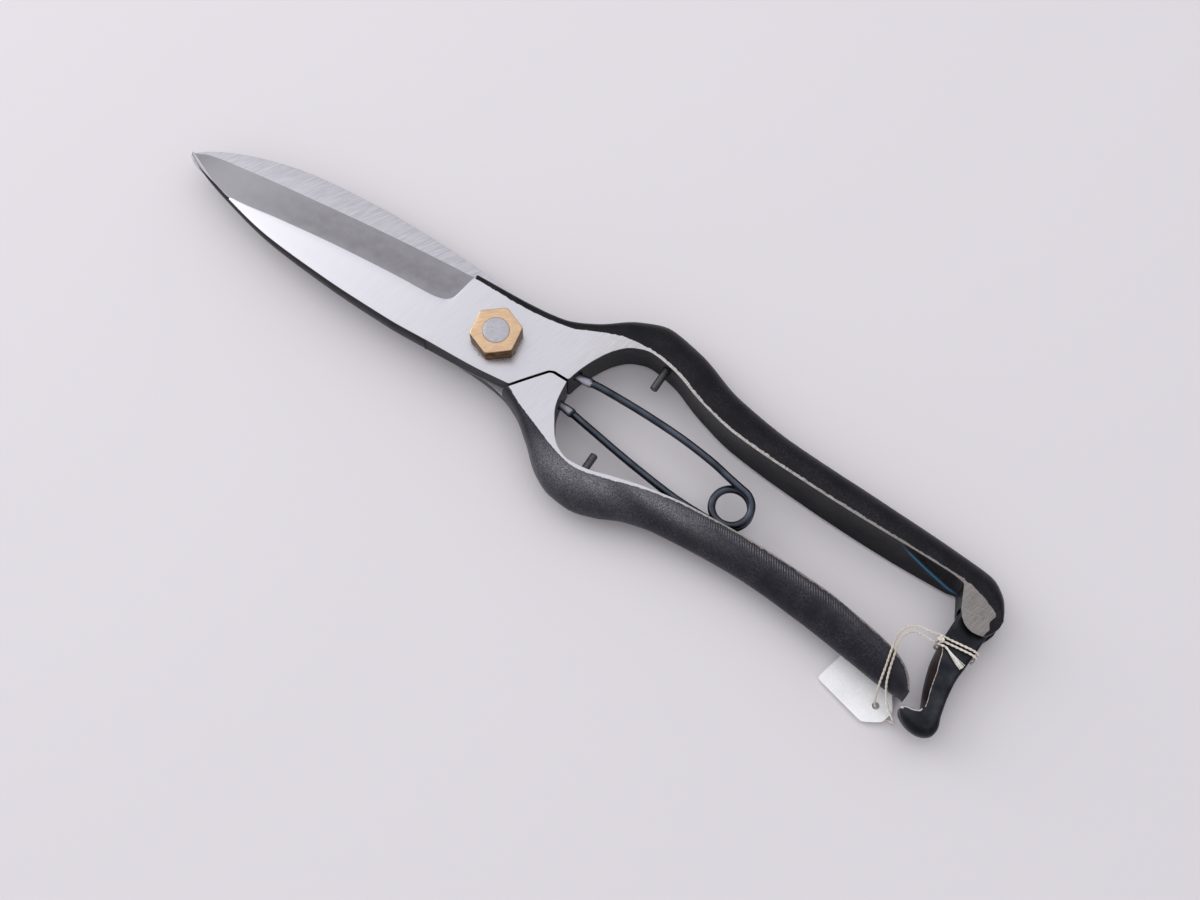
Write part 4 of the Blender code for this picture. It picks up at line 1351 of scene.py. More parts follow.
@dataclass(frozen=True)
class BrassFinish(Finish):
    """Filed brass: pale satin top with faint marks, sides gone brown from handling and oil.

    The way of the marks is their turn in radians.
    """

    name: str = "filed_brass_browned_sides"
    metallic: float = 1.0
    face: str = "#cdae8b"
    face_pale: str = "#dabf9f"
    side: str = "#8a6a44"
    side_dark: str = "#4c3822"
    mark_way: float = 0.7

    def shade(self, tree: Tree, coords: Socket) -> dict[str, object]:
        """Adds the two tones and the file marks.

        Args:
            tree: the material's node tree.
            coords: object coordinates in metres.

        Returns:
            Values or sockets by shader input name.
        """
        way = add_node(tree, "Mapping", {"Vector": coords, "Rotation": (0, 0, self.mark_way),
                                         "Scale": (9, 1, 1)}, vector_type="TEXTURE")
        marks = add_node(tree, "TexNoise", {"Vector": way, "Scale": per_mm(0.25), "Detail": 4.0})
        marks = add_node(tree, "MapRange", {0: marks, 1: 0.35, 2: 0.65})
        stain = add_node(tree, "TexNoise", {"Vector": coords, "Scale": per_mm(2.2), "Detail": 5.0})
        brown = add_node(tree, "MapRange", {0: stain, 1: 0.35, 2: 0.6})
        face = add_node(tree, "Mix", {0: marks, 6: linear(self.face), 7: linear(self.face_pale)}, 2,
                        data_type="RGBA")
        side = add_node(tree, "Mix", {0: brown, 6: linear(self.side_dark), 7: linear(self.side)}, 2,
                        data_type="RGBA")
        up = add_node(tree, "SeparateXYZ", {0: add_node(tree, "NewGeometry", out="True Normal")}, 2)
        up = add_node(tree, "MapRange", {0: up, 1: 0.2, 2: 0.75})
        return {"Base Color": add_node(tree, "Mix", {0: up, 6: side, 7: face}, 2, data_type="RGBA"),
                "Roughness": add_node(tree, "MapRange", {0: stain, 1: 0.3, 2: 0.7, 3: 0.3, 4: 0.44}),
                "Normal": add_node(tree, "Bump", {"Height": stain, "Distance": 0.04 * MM, "Strength": 0.3})}


@dataclass(frozen=True)
class PlainSteelFinish(Finish):
    """Mild steel as cut or filed: even grey with a fine speckle."""

    name: str = "mild_steel_filed"
    metallic: float = 1.0
    dark: str = "#a6a6ac"
    pale: str = "#c2c2c8"
    rough_low: float = 0.34
    rough_high: float = 0.5
    speckle_mm: float = 0.5

    def shade(self, tree: Tree, coords: Socket) -> dict[str, object]:
        """Adds the speckle to colour, roughness and bump.

        Args:
            tree: the material's node tree.
            coords: object coordinates in metres.

        Returns:
            Values or sockets by shader input name.
        """
        speckle = add_node(tree, "TexNoise", {"Vector": coords, "Scale": per_mm(self.speckle_mm),
                                              "Detail": 4.0, "Roughness": 0.65})
        tone = add_node(tree, "MapRange", {0: speckle, 1: 0.3, 2: 0.7})
        colour = add_node(tree, "Mix", {0: tone, 6: linear(self.dark), 7: linear(self.pale)}, 2,
                          data_type="RGBA")
        bump = add_node(tree, "Bump", {"Height": speckle, "Distance": 0.03 * MM, "Strength": 0.4})
        return {"Base Color": colour,
                "Roughness": add_node(tree, "MapRange", {0: tone, 3: self.rough_low, 4: self.rough_high}),
                "Normal": bump}


@dataclass
class Pivot:
    """Bolt with a low head underneath, and the six-sided brass nut filed flush with its stud."""

    head_d: float = 14.0
    head_thick: float = 1.8
    bolt_d: float = 7.0
    stud_end: float = 18.35
    nut_base: float = 13.7
    nut_thick: float = 4.5
    nut_flats: float = 12.1
    nut_turn: float = 39.5
    nut_chamfer: float = 0.28
    nut_corner: float = 0.12
    nut_crease: float = 24.0
    bore_clear: float = 0.02
    bore_ease: float = 0.03
    bolt_sides: int = 56
    nut_sides: int = 72

    def bolt(self) -> bpy.types.Object:
        """Turned bolt with eased edges and a slightly domed stud end.

        Returns:
            The piece.
        """
        head, stud, seat, end = self.head_d / 2, self.bolt_d / 2, self.head_thick, self.stud_end
        profile = [(AXIS_R, 0), (head - 0.7, 0), (head - 0.2, 0.2), (head, 0.7), (head, seat - 0.15),
                   (head - 0.15, seat), (stud + 0.1, seat), (stud, seat + 0.1), (stud, end - 0.2),
                   (stud - 0.06, end - 0.1), (stud - 0.3, end - 0.03), (stud * 0.5, end - 0.01),
                   (AXIS_R, end)]
        mesh = turned("bolt", profile, (0, 0, 0), (0, 0, 1), self.bolt_sides)
        return finished("bolt", mesh, PlainSteelFinish())

    def nut(self) -> bpy.types.Object:
        """Six-sided nut with narrow chamfers and a plain bore.

        Returns:
            The piece.
        """
        start = np.radians(self.nut_turn)
        turns = start + np.linspace(0, 2 * math.pi, self.nut_sides, endpoint=False)
        side = np.radians(30) - np.mod(turns - start, math.pi / 3)
        corner = self.nut_flats / math.sqrt(3) - self.nut_corner
        hexagon = np.minimum(self.nut_flats / 2 / np.cos(side), corner)
        bore = self.bolt_d / 2 + self.bore_clear
        low, high = self.nut_base, self.nut_base + self.nut_thick
        ease = self.nut_chamfer
        levels = [(bore + 0.1, low), (-ease, low), (0, low + ease), (0, high - ease),
                  (-0.3 * ease, high - 0.3 * ease), (-ease, high), (bore + self.bore_ease, high),
                  (bore, high - self.bore_ease), (bore, low + 0.1)]
        rings = []
        for radius, z in levels:
            far = hexagon + radius if radius <= 0 else np.full(len(turns), radius)
            level = np.full(len(turns), z)
            rings.append(np.column_stack([far * np.cos(turns), far * np.sin(turns), level]))
        mesh = loft("nut", rings, capped=False, looped=True)
        return finished("nut", mesh, BrassFinish(), self.nut_crease)

    def build(self) -> None:
        """Builds and places both."""
        place(self.bolt(), "front_half", "bolt", "pivot_bolt")
        place(self.nut(), "front_half", "nut", "pivot_nut")


# spring and pegs


class Mark(Enum):
    """Point values that tell the spring's and the latch's finish where they are, as a share from 0 to 1."""

    BARE = "bare"
    FACET = "facet"
    RUBBED_AND_HIGHLIGHT = "rubbed_and_highlight"


@dataclass(frozen=True)
class BluedWireFinish(Finish):
    """Spring steel wire, oil blued: blue-black satin with bare grey on the hammered tips."""

    name: str = "spring_steel_oil_blued"
    metallic: float = 1.0
    blue: str = "#3b4048"
    blue_pale: str = "#565d68"
    bare: str = "#9a9ba6"

    def shade(self, tree: Tree, coords: Socket) -> dict[str, object]:
        """Adds the blue's drift and the bare tips.

        Args:
            tree: the material's node tree.
            coords: object coordinates in metres.

        Returns:
            Values or sockets by shader input name.
        """
        drift = add_node(tree, "TexNoise", {"Vector": coords, "Scale": per_mm(5.0), "Detail": 4.0})
        drift = add_node(tree, "MapRange", {0: drift, 1: 0.3, 2: 0.7})
        fine = add_node(tree, "TexNoise", {"Vector": coords, "Scale": per_mm(0.4), "Detail": 3.0})
        colour = add_node(tree, "Mix", {0: drift, 6: linear(self.blue), 7: linear(self.blue_pale)}, 2,
                          data_type="RGBA")
        tips = add_node(tree, "Attribute", out="Fac", attribute_name=Mark.BARE.value)
        tips = add_node(tree, "MapRange", {0: tips, 1: 0.45, 2: 0.55})
        return {"Base Color": add_node(tree, "Mix", {0: tips, 6: colour, 7: linear(self.bare)}, 2,
                                       data_type="RGBA"),
                "Roughness": add_node(tree, "MapRange", {0: fine, 1: 0.3, 2: 0.7, 3: 0.28, 4: 0.4}),
                "Normal": add_node(tree, "Bump", {"Height": fine, "Distance": 0.02 * MM, "Strength": 0.3})}


@dataclass
class ReturnSpring:
    """Wire spring: two legs and one and a half turns, with hammered spade tips in the bows.

    The rear leg is a piece of its own, between the two halves.
    """

    coil_x: float = -74.6
    coil_y: float = 4.2
    coil_r: float = 5.05
    coil_points: int = 31
    turns: float = 1.5
    front_leg: Sequence[Point] = ((-24.5, FRONT_SEAT[1]), (-30, -4.2), (-42, -4.4), (-54, -4.0),
                                  (-64, -2.9), (-70, -1.7))
    rear_leg: Sequence[Point] = ((-68, 9.5), (-60, 9.3), (-50, 8.2), (-42, 7.1), (-32, 5.5),
                                 (-24.5, REAR_SEAT[1]))
    seat_deep: float = 3.2
    spade_long: float = 4.6
    spade_ease: float = 1.1
    spade_taper: float = 0.75
    spade_half: Point = (1.45, 0.55)
    leg_from: float = -68.0
    leg_bend: Point = (-47.0, -21.5)
    step: float = 0.5
    sides: int = 16
    crease: float = 50.0

    def path(self) -> np.ndarray:
        """Centre line from the front seat to the rear seat.

        Returns:
            Evenly spaced points in mm.
        """
        high, low = FRONT_SEAT[2], REAR_SEAT[2]
        route = [FRONT_SEAT, *((x, y, high) for x, y in self.front_leg)]
        for share in np.linspace(0, 1, self.coil_points):
            turn = -math.pi / 2 - self.turns * 2 * math.pi * share
            route.append((self.coil_x + self.coil_r * math.cos(turn),
                          self.coil_y + self.coil_r * math.sin(turn), high + (low - high) * share))
        route += [*((x, y, low) for x, y in self.rear_leg), REAR_SEAT]
        return flowing(route, self.step)

    def build(self) -> None:
        """Sweeps the wire and flattens its tips; the coil rides on the front half."""
        path = self.path()
        run = run_along(path)
        far = np.minimum(run, run[-1] - run) - self.seat_deep
        flat = np.clip((self.spade_long - far) / self.spade_ease, 0, 1)
        flat = flat * flat * (3 - 2 * flat)
        least = self.spade_taper
        taper = np.clip(least + (1 - least) * far / self.spade_long, least, 1.0)
        wire = WIRE_D / 2
        wide = wire + (self.spade_half[0] * taper - wire) * flat
        thin = wire + (self.spade_half[1] - wire) * flat
        half = np.stack([wide, thin], 1)
        split = np.flatnonzero(path[:, 0] < self.leg_from)[-1]
        coil = self.length("spring", path[:split + 2], half[:split + 2], flat[:split + 2])
        place(coil, "front_half", "spring", "return_spring")
        leg = self.length("spring_rear_leg", path[split:], half[split:], flat[split:])
        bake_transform(leg)
        settle(leg, "spring")

    def length(self, name: str, path: np.ndarray, half: np.ndarray, flat: np.ndarray) -> bpy.types.Object:
        """One length of the wire.

        Args:
            name: piece name.
            path: points in mm.
            half: half width and half height at each point.
            flat: share of flattening at each point, which is kept for the finish.

        Returns:
            The piece.
        """
        mesh = tube(name, path, half, self.sides, level=True)
        store(mesh, Mark.BARE.value, np.repeat(flat, self.sides))
        return finished(name, mesh, BluedWireFinish(), self.crease)


@dataclass
class Pegs:
    """Two stop pegs, sawn from rod and driven into the bows."""

    reach: float = 6.0
    sides: int = 28

    def peg(self, name: str, wall: Spot, way: int) -> bpy.types.Object:
        """Peg through a point of a bow's wall.

        Args:
            name: piece name.
            wall: the point in mm.
            way: 1 where it reaches along +Y, and -1 along -Y.

        Returns:
            The piece.
        """
        r = PEG_D / 2
        whole = PEG_DEEP + self.reach
        profile = [(AXIS_R, 0), (r - 0.1, 0), (r, 0.15), (r, whole - 0.3), (r - 0.1, whole - 0.1),
                   (r - 0.25, whole), (AXIS_R, whole - 0.05)]
        start = (wall[0], wall[1] - way * PEG_DEEP, wall[2])
        mesh = turned(name, profile, start, (wall[0], wall[1] + way, wall[2]), self.sides)
        finish = PlainSteelFinish("mild_steel_peg_dull", dark="#4c4c4f", pale="#6d6d70", rough_low=0.42,
                                  rough_high=0.6)
        return finished(name, mesh, finish)

    def build(self) -> None:
        """Builds and places both."""
        front = (FRONT_PEG_X, FRONT.inner(FRONT_PEG_X), MID)
        rear = (REAR_PEG_X, -REAR.inner(REAR_PEG_X), MID)
        place(self.peg("peg_front", front, 1), "front_half", "peg", "front_peg")
        place(self.peg("peg_rear", rear, -1), "rear_half", "peg", "rear_peg")


# latch


@dataclass(frozen=True)
class LatchSteelFinish(Finish):
    """Filed steel, oil blacked: satin black, brown on a facet, bare and bright on ridge and lip, with a
    painted highlight on the lip too.
    """

    name: str = "forged_steel_oil_blacked"
    metallic: float = 1.0
    dark: str = "#27292d"
    pale: str = "#3c3f44"
    brown: str = "#3a2a25"
    bright: str = "#b6b6ba"

    def shade(self, tree: Tree, coords: Socket) -> dict[str, object]:
        """Adds the black, the brown facet and the bright edges.

        Args:
            tree: the material's node tree.
            coords: object coordinates in metres.

        Returns:
            Values or sockets by shader input name.
        """
        grain = add_node(tree, "TexNoise", {"Vector": coords, "Scale": per_mm(0.5), "Detail": 5.0})
        cloud = add_node(tree, "TexNoise", {"Vector": coords, "Scale": per_mm(4.0), "Detail": 3.0})
        cloud = add_node(tree, "MapRange", {0: cloud, 1: 0.35, 2: 0.68})
        colour = add_node(tree, "Mix", {0: cloud, 6: linear(self.dark), 7: linear(self.pale)}, 2,
                          data_type="RGBA")
        facet = add_node(tree, "Attribute", out="Fac", attribute_name=Mark.FACET.value)
        facet = add_node(tree, "MapRange", {0: facet, 1: 0.3, 2: 0.7})
        colour = add_node(tree, "Mix", {0: facet, 6: colour, 7: linear(self.brown)}, 2, data_type="RGBA")
        # bright edges: bare steel on ridge and lip, and a painted highlight on the lip
        edge = add_node(tree, "Attribute", out="Fac", attribute_name=Mark.RUBBED_AND_HIGHLIGHT.value)
        broken = add_node(tree, "MapRange", {0: grain, 1: 0.3, 2: 0.62, 3: 0.68, 4: 1.15})
        edge = add_node(tree, "Math", {0: edge, 1: broken}, operation="MULTIPLY")
        edge = add_node(tree, "MapRange", {0: edge, 1: 0.42, 2: 0.7})
        colour = add_node(tree, "Mix", {0: edge, 6: colour, 7: linear(self.bright)}, 2, data_type="RGBA")
        bump = add_node(tree, "Bump", {"Height": grain, "Distance": 0.04 * MM, "Strength": 0.35})
        return {"Base Color": colour,
                "Roughness": add_node(tree, "MapRange", {0: grain, 1: 0.3, 2: 0.7, 3: 0.32, 4: 0.46}),
                "Normal": bump}


@dataclass
class Latch:
    """Swinging latch: an eye in the slotted handle end, a bar, and a hook past the rear handle's end.

    Outline points are x, y and the rounded edge's radius, round the pin, where the latch locks.
    """

    eye_edge: float = 0.7
    eye_arc: Point = (170.0, 360.0)
    eye_points: int = 9
    edge_points: int = 6
    top_inset: float = 0.35
    rest: float = 4.0
    step: float = 0.4
    crease: float = 32.0
    facet_deep: float = 3.4
    facet_edge: float = 0.25
    facet_x: float = 1.0
    facet_least: float = 0.15
    facet_foot: float = 0.02
    ridge_least: float = 0.25
    ridge_rub: float = 0.68
    lip_x: float = 2.3
    lip_y: Point = (27.8, 30.4)
    lip_levels: int = 8
    # share on the lip's top face, partly a painted highlight
    lip_top_rub_and_highlight: float = 0.35
    pin_ease: float = 0.2
    pin_sides: int = 32
    bar_inner: Sequence[Spot] = ((4.7, 3.0, 0.7), (5.2, 8.0, 0.7), (5.4, 12.5, 0.4), (5.1, 17.0, 0.25),
                                 (3.9, 22.6, 0.25), (2.6, 26.6, 0.25))
    hook_lip: Sequence[Spot] = ((2.5, 28.2, 0.3), (4.0, 28.9, 0.35), (6.0, 29.1, 0.35), (7.0, 29.9, 0.5),
                                (6.5, 31.4, 1.0))
    hook_knob: Sequence[Spot] = ((4.5, 33.2, 1.9), (1.5, 34.1, 2.2), (-1.1, 33.8, 2.2), (-2.9, 32.5, 2.1),
                                 (-3.45, 30.2, 1.7))
    bar_outer: Sequence[Spot] = ((-2.7, 27.0, 1.2), (-2.1, 22.0, 0.9), (-2.1, 17.5, 0.9), (-2.7, 13.5, 0.9),
                                 (-3.2, 10.0, 0.8), (-3.7, 6.0, 0.7))
    facet_wide: Sequence[Point] = ((10.5, 0.0), (13.5, 1.2), (18.0, 1.7), (25.2, 0.9), (27.6, 0.4))

    def levels(self, edge: np.ndarray) -> list[tuple[np.ndarray, np.ndarray]]:
        """Levels of the outline, base to top.

        Args:
            edge: radius of the rounded edge at each outline point.

        Returns:
            Inset and height of each level.
        """
        low, high = MID - LATCH_THICK / 2, MID + LATCH_THICK / 2
        turns = np.linspace(0, math.pi / 2, self.edge_points)
        made = [(edge * (1 - math.sin(t)), low + edge * (1 - math.cos(t))) for t in turns]
        foot = (high - low - self.facet_deep - self.facet_edge) / (high - low - 2 * self.facet_edge)
        for share in (foot / 2, foot, 0.6, 0.8):
            made.append((0 * edge, low + edge + (high - low - 2 * edge) * share))
        made += [(edge * (1 - math.cos(t)), high - edge * (1 - math.sin(t))) for t in turns]
        return made + [(edge + self.top_inset, 0 * edge + high)]

    def outline(self) -> np.ndarray:
        """Plan outline round the pin.

        Returns:
            x, y and the rounded edge's radius of evenly spaced points.
        """
        eye = [(LATCH_EYE_R * math.cos(t), LATCH_EYE_R * math.sin(t), self.eye_edge)
               for t in np.radians(np.linspace(*self.eye_arc, self.eye_points))]
        corners = [*eye, *self.bar_inner, *self.hook_lip, *self.hook_knob, *self.bar_outer]
        return flowing(corners, self.step, closed=True)

    def hook(self) -> bpy.types.Object:
        """Stacks the outline's levels, with rounded edges and the sloped facet.

        Returns:
            The piece.
        """
        line = self.outline()
        along = np.roll(line, -1, axis=0) - np.roll(line, 1, axis=0)
        along /= np.linalg.norm(along[:, :2], axis=1)[:, None]
        out = np.stack([along[:, 1], -along[:, 0]], 1)
        x, y, edge = line.T
        spans, widths = np.array(self.facet_wide).T
        on_facet = (x > self.facet_x) & (y > spans[0]) & (y < spans[-1])
        wide = np.where(on_facet, np.interp(y, spans, widths), 0.0)
        lip = ((x > self.lip_x) & (y > self.lip_y[0]) & (y < self.lip_y[1])).astype(float)
        high = MID + LATCH_THICK / 2
        rings, facets, rubs_and_highlights = [], [], []
        levels = self.levels(edge)
        for k, (inset, z) in enumerate(levels):
            up = np.clip((z - high) / self.facet_deep + 1, 0, 1)
            plan = line[:, :2] - out * inset[:, None] - np.stack([wide * up, 0 * up], 1)
            rings.append(np.column_stack([plan, z]))
            top = len(levels) - 1 - k
            sloped = (up > self.facet_foot) & (wide > self.facet_least)
            facets.append(np.where(sloped, 1.0, 0.0) * (top > 0))
            ridge = self.ridge_rub if top in (1, 2) else 0.0
            # the lip is bare steel and also painted bright as a highlight
            worn_lip_and_highlight = lip * (self.lip_top_rub_and_highlight if top == 0 else 1.0) * (top < self.lip_levels)
            rubs_and_highlights.append((wide > self.ridge_least) * ridge + worn_lip_and_highlight)
        mesh = loft("latch", rings)
        turn = Matrix.Rotation(math.radians(self.rest), 4, "Z")
        mesh.transform(Matrix.Translation((LATCH_AT[0] * MM, LATCH_AT[1] * MM, 0)) @ turn)
        store(mesh, Mark.FACET.value, np.concatenate(facets))
        store(mesh, Mark.RUBBED_AND_HIGHLIGHT.value, np.concatenate(rubs_and_highlights))
        piece = finished("latch", mesh, LatchSteelFinish())
        cut(piece, hole("latch_eye_hole", PIN_D / 2 + HOLE_CLEAR, (*LATCH_AT, 0), (*LATCH_AT, 20)))
        piece.data.set_sharp_from_angle(angle=math.radians(self.crease))
        return piece

    def pin(self) -> bpy.types.Object:
        """Plain pin, riveted flush underneath.

        Returns:
            The piece.
        """
        r, ease = PIN_D / 2, self.pin_ease
        low, high = PIN_ENDS
        tall = high - low
        profile = [(AXIS_R, 0), (r - ease, 0), (r, ease), (r, tall - ease), (r - ease, tall),
                   (AXIS_R, tall)]
        mesh = turned("pin", profile, (*LATCH_AT, low), (*LATCH_AT, high), self.pin_sides)
        return finished("pin", mesh, PlainSteelFinish("mild_steel_pin", dark="#6e6e72", pale="#8c8c90"))

    def build(self) -> None:
        """Builds and places both."""
        place(self.hook(), "latch", "latch", "latch_hook")
        place(self.pin(), "front_half", "pin", "latch_pin")


# tag and string


@dataclass(frozen=True)
class TagPaperFinish(Finish):
    """Stiff uncoated tag paper, cut: matt white with a faint fibre and slight clouds."""

    name: str = "tag_paper_uncoated"
    white: str = "#f8f8f9"
    shade_white: str = "#ededee"

    def shade(self, tree: Tree, coords: Socket) -> dict[str, object]:
        """Adds the fibre.

        Args:
            tree: the material's node tree.
            coords: object coordinates in metres.

        Returns:
            Values or sockets by shader input name.
        """
        # paper fibre is far finer, and is drawn at 0.5 mm to show
        fibre = add_node(tree, "TexNoise", {"Vector": coords, "Scale": per_mm(0.5), "Detail": 5.0})
        cloud = add_node(tree, "TexNoise", {"Vector": coords, "Scale": per_mm(5.0), "Detail": 2.0})
        tone = add_node(tree, "Math", {0: fibre, 1: cloud}, operation="ADD")
        tone = add_node(tree, "MapRange", {0: tone, 1: 0.8, 2: 1.2})
        colour = add_node(tree, "Mix", {0: tone, 6: linear(self.shade_white), 7: linear(self.white)}, 2,
                          data_type="RGBA")
        return {"Base Color": colour,
                "Roughness": 0.75,
                "Normal": add_node(tree, "Bump", {"Height": fibre, "Distance": 0.02 * MM, "Strength": 0.3})}


@dataclass(frozen=True)
class CottonFinish(Finish):
    """Two-ply cotton string, twisted and undyed: warm off-white with darker grooves and loose fibre."""

    name: str = "cotton_string_two_ply"
    pale: str = "#e8e0d6"
    dark: str = "#b9ac9d"

    def shade(self, tree: Tree, coords: Socket) -> dict[str, object]:
        """Adds the fibre's variation.

        Args:
            tree: the material's node tree.
            coords: object coordinates in metres.

        Returns:
            Values or sockets by shader input name.
        """
        # cotton fibre is far finer, and is drawn at 0.35 mm to show
        fibre = add_node(tree, "TexNoise", {"Vector": coords, "Scale": per_mm(0.35), "Detail": 4.0})
        stain = add_node(tree, "TexNoise", {"Vector": coords, "Scale": per_mm(9.0), "Detail": 2.0})
        tone = add_node(tree, "Math", {0: fibre, 1: stain}, operation="ADD")
        tone = add_node(tree, "MapRange", {0: tone, 1: 0.75, 2: 1.2})
        colour = add_node(tree, "Mix", {0: tone, 6: linear(self.dark), 7: linear(self.pale)}, 2,
                          data_type="RGBA")
        return {"Base Color": colour,
                "Roughness": 0.9,
                "Sheen Weight": 0.3,
                "Normal": add_node(tree, "Bump", {"Height": fibre, "Distance": 0.05 * MM, "Strength": 0.5})}


@dataclass
class TagAndString:
    """Paper tag half under the rear handle, on a string that is tied round the latch bar."""

    tag_long: float = 19.0
    tag_wide: float = 11.0
    tag_nip: float = 3.7
    tag_corner: float = 0.9
    tag_thick: float = 0.3
    tag_at: Spot = (-115.4, 28.3, 1.45)
    tag_turn: float = 166.0
    tag_lift: float = 2.6
    hole_in: float = 4.0
    hole_d: float = 1.9
    string_d: float = 0.65
    string_step: float = 0.2
    string_crease: float = 60.0
    ply_d: float = 0.36
    ply_sides: int = 8
    twist: float = 2.4
    wrap_at: Spot = (-140.9, 6.3, MID)
    wrap_half: Point = (5.15, 3.45)
    wrap_round: float = 0.45
    wrap_pitch: float = 1.1
    wrap_skew: float = 0.14
    wrap_from: int = 75
    wrap_turns: int = 2
    wrap_step: int = 15
    knot_at: Spot = (-136.1, 5.5, 11.35)
    knot_size: float = 0.25
    knot_points: int = 90
    knot_sides: int = 10
    fray_count: int = 11
    fray_d: float = 0.15
    fray_sides: int = 6
    fray_points: int = 40
    fray_wide: float = 0.75
    fray_sway: float = 0.12
    fray_lift: Point = (0.05, 0.16)
    tail_route: Sequence[Spot] = ((-144.1, 9.0, 10.9), (-142.2, 8.3, 10.95), (-140.2, 7.5, 11.1))
    tag_route: Sequence[Spot] = (
        (-135.4, 4.8, 11.6), (-133.2, 5.6, 12.2), (-130.4, 6.3, 13.2), (-128.1, 7.8, 14.2),
        (-126.9, 10.2, 14.6), (-126.9, 13.4, 14.3), (-127.6, 16.8, 13.7), (-128.4, 20.2, 12.4),
        (-129.2, 23.4, 9.4), (-130.2, 25.6, 5.6), (-130.8, 26.5, 3.4), (-131.6, 26.9, 2.0),
        (-133.1, 27.3, 1.4), (-134.9, 27.7, 1.4), (-136.2, 28.0, 1.8), (-136.9, 28.0, 2.9),
        (-136.6, 27.8, 4.2), (-135.3, 27.1, 5.3), (-132.8, 25.4, 7.5), (-130.6, 22.6, 10.9),
        (-129.4, 19.6, 12.9), (-128.6, 16.4, 13.8), (-127.9, 13.2, 14.3), (-128.1, 10.4, 14.6),
        (-129.4, 8.6, 14.2), (-131.3, 7.8, 13.2), (-133.4, 7.5, 12.4), (-135.0, 7.4, 11.9))

    def tag(self) -> bpy.types.Object:
        """Cut tag with nipped, softened corners and a punched hole.

        Returns:
            The piece.
        """
        long, wide, nip = self.tag_long, self.tag_wide, self.tag_nip
        corners = [(0, 0), (long - nip, 0), (long, nip), (long, wide - nip), (long - nip, wide), (0, wide)]
        edge = []
        for before, point, after in zip(corners[-1:] + corners, corners, corners[1:] + corners[:1]):
            p = Vector(point)
            start, end = (p + (Vector(near) - p).normalized() * self.tag_corner for near in (before, after))
            edge += [tuple(start), tuple((start + end + 2 * p) / 4), tuple(end)]
        mesh = prism("tag", edge, 0, self.tag_thick)
        piece = finished("tag_card", mesh, TagPaperFinish())
        mid = (long - self.hole_in, wide / 2)
        cut(piece, hole("tag_hole", self.hole_d / 2, (*mid, -3), (*mid, 3)))
        turn = Matrix.Rotation(math.radians(self.tag_turn), 4, "Z")
        lift = Matrix.Rotation(-math.radians(self.tag_lift), 4, "Y")
        piece.data.transform(Matrix.Translation(Vector(self.tag_at) * MM) @ turn @ lift)
        return piece

    def wraps(self) -> list[Spot]:
        """Turns round the latch bar, from its inner top edge down and round.

        Returns:
            Points of the turns in mm.
        """
        made = []
        for angle in range(self.wrap_from, self.wrap_from - 360 * self.wrap_turns - 1, -self.wrap_step):
            across, up = math.cos(math.radians(angle)), math.sin(math.radians(angle))
            x = self.wrap_half[0] * math.copysign(abs(across) ** self.wrap_round, across)
            z = self.wrap_half[1] * math.copysign(abs(up) ** self.wrap_round, up)
            y = self.wrap_skew * x - self.wrap_pitch * (self.wrap_from - angle) / 360
            made.append((self.wrap_at[0] + x, self.wrap_at[1] + y, self.wrap_at[2] + z))
        return made

    def string(self) -> tuple[bpy.types.Object, np.ndarray]:
        """Two plies wound round each other along the route.

        Returns:
            The piece and its centre line.
        """
        path = flowing([*self.tail_route, *self.wraps(), *self.tag_route], self.string_step)
        side, up = frames(path)
        run = run_along(path)
        reach = (self.string_d - self.ply_d) / 2
        plies = []
        for start in (0.0, math.pi):
            turn = start + 2 * math.pi * run / self.twist
            line = path + reach * (np.cos(turn)[:, None] * side + np.sin(turn)[:, None] * up)
            plies.append(tube("ply", line, np.full((len(line), 2), self.ply_d / 2), self.ply_sides))
        return finished("string", joined("string", plies), CottonFinish(), self.string_crease), path

    def knot(self) -> bpy.types.Object:
        """Pulled overhand knot at the bar's inner edge.

        Returns:
            The piece.
        """
        t = np.linspace(0, 2 * math.pi, self.knot_points)
        loops = np.stack([np.sin(t) + 2 * np.sin(2 * t), np.cos(t) - 2 * np.cos(2 * t),
                          -1.2 * np.sin(3 * t)], 1)
        path = np.array(self.knot_at) + self.knot_size * loops
        mesh = tube("string_knot", path, np.full((len(path), 2), self.string_d / 2), self.knot_sides)
        return finished("string_knot", mesh, CottonFinish(), self.string_crease)

    def frayed(self, path: np.ndarray) -> bpy.types.Object:
        """Loose fibres that spread towards the tail's end.

        Args:
            path: the string's centre line, which starts at that end.

        Returns:
            The piece.
        """
        tail = path[:self.fray_points][::-1]
        share = np.linspace(0, 1, len(tail))
        side, up = frames(tail)
        low, swing = self.fray_lift
        fibres = []
        for k in range(self.fray_count):
            way = 2 * k / (self.fray_count - 1) - 1
            sway = self.fray_sway * np.sin(5 * share + 2.4 * k) * share
            line = tail + (self.fray_wide * way * share ** 1.3 + sway)[:, None] * side
            line = line + (swing * math.cos(2.1 * k) + low) * up
            fibres.append(tube("fibre", line, np.full((len(line), 2), self.fray_d / 2), self.fray_sides))
        loose = CottonFinish("cotton_fibre_loose", pale="#f6f4f0", dark="#ddd6cc")
        return finished("string_fray", joined("string_fray", fibres), loose, self.string_crease)

    def build(self) -> None:
        tag = self.tag()
        place(tag, "latch", "paper", "tag")
        string, path = self.string()
        place(string, "latch", "cotton", "tag_string")
        place(self.knot(), "latch", "cotton")
        place(self.frayed(path), "latch", "cotton")


# studio


@dataclass(frozen=True)
class FloorFinish(Finish):
    """Matt painted board: plain, pale and slightly warm."""

    name: str = "matt_painted_board"
    pale: str = "#d9d5d9"

    def shade(self, tree: Tree, coords: Socket) -> dict[str, object]:
        """Keeps one even colour."""
        return {"Base Color": linear(self.pale), "Roughness": 0.9}


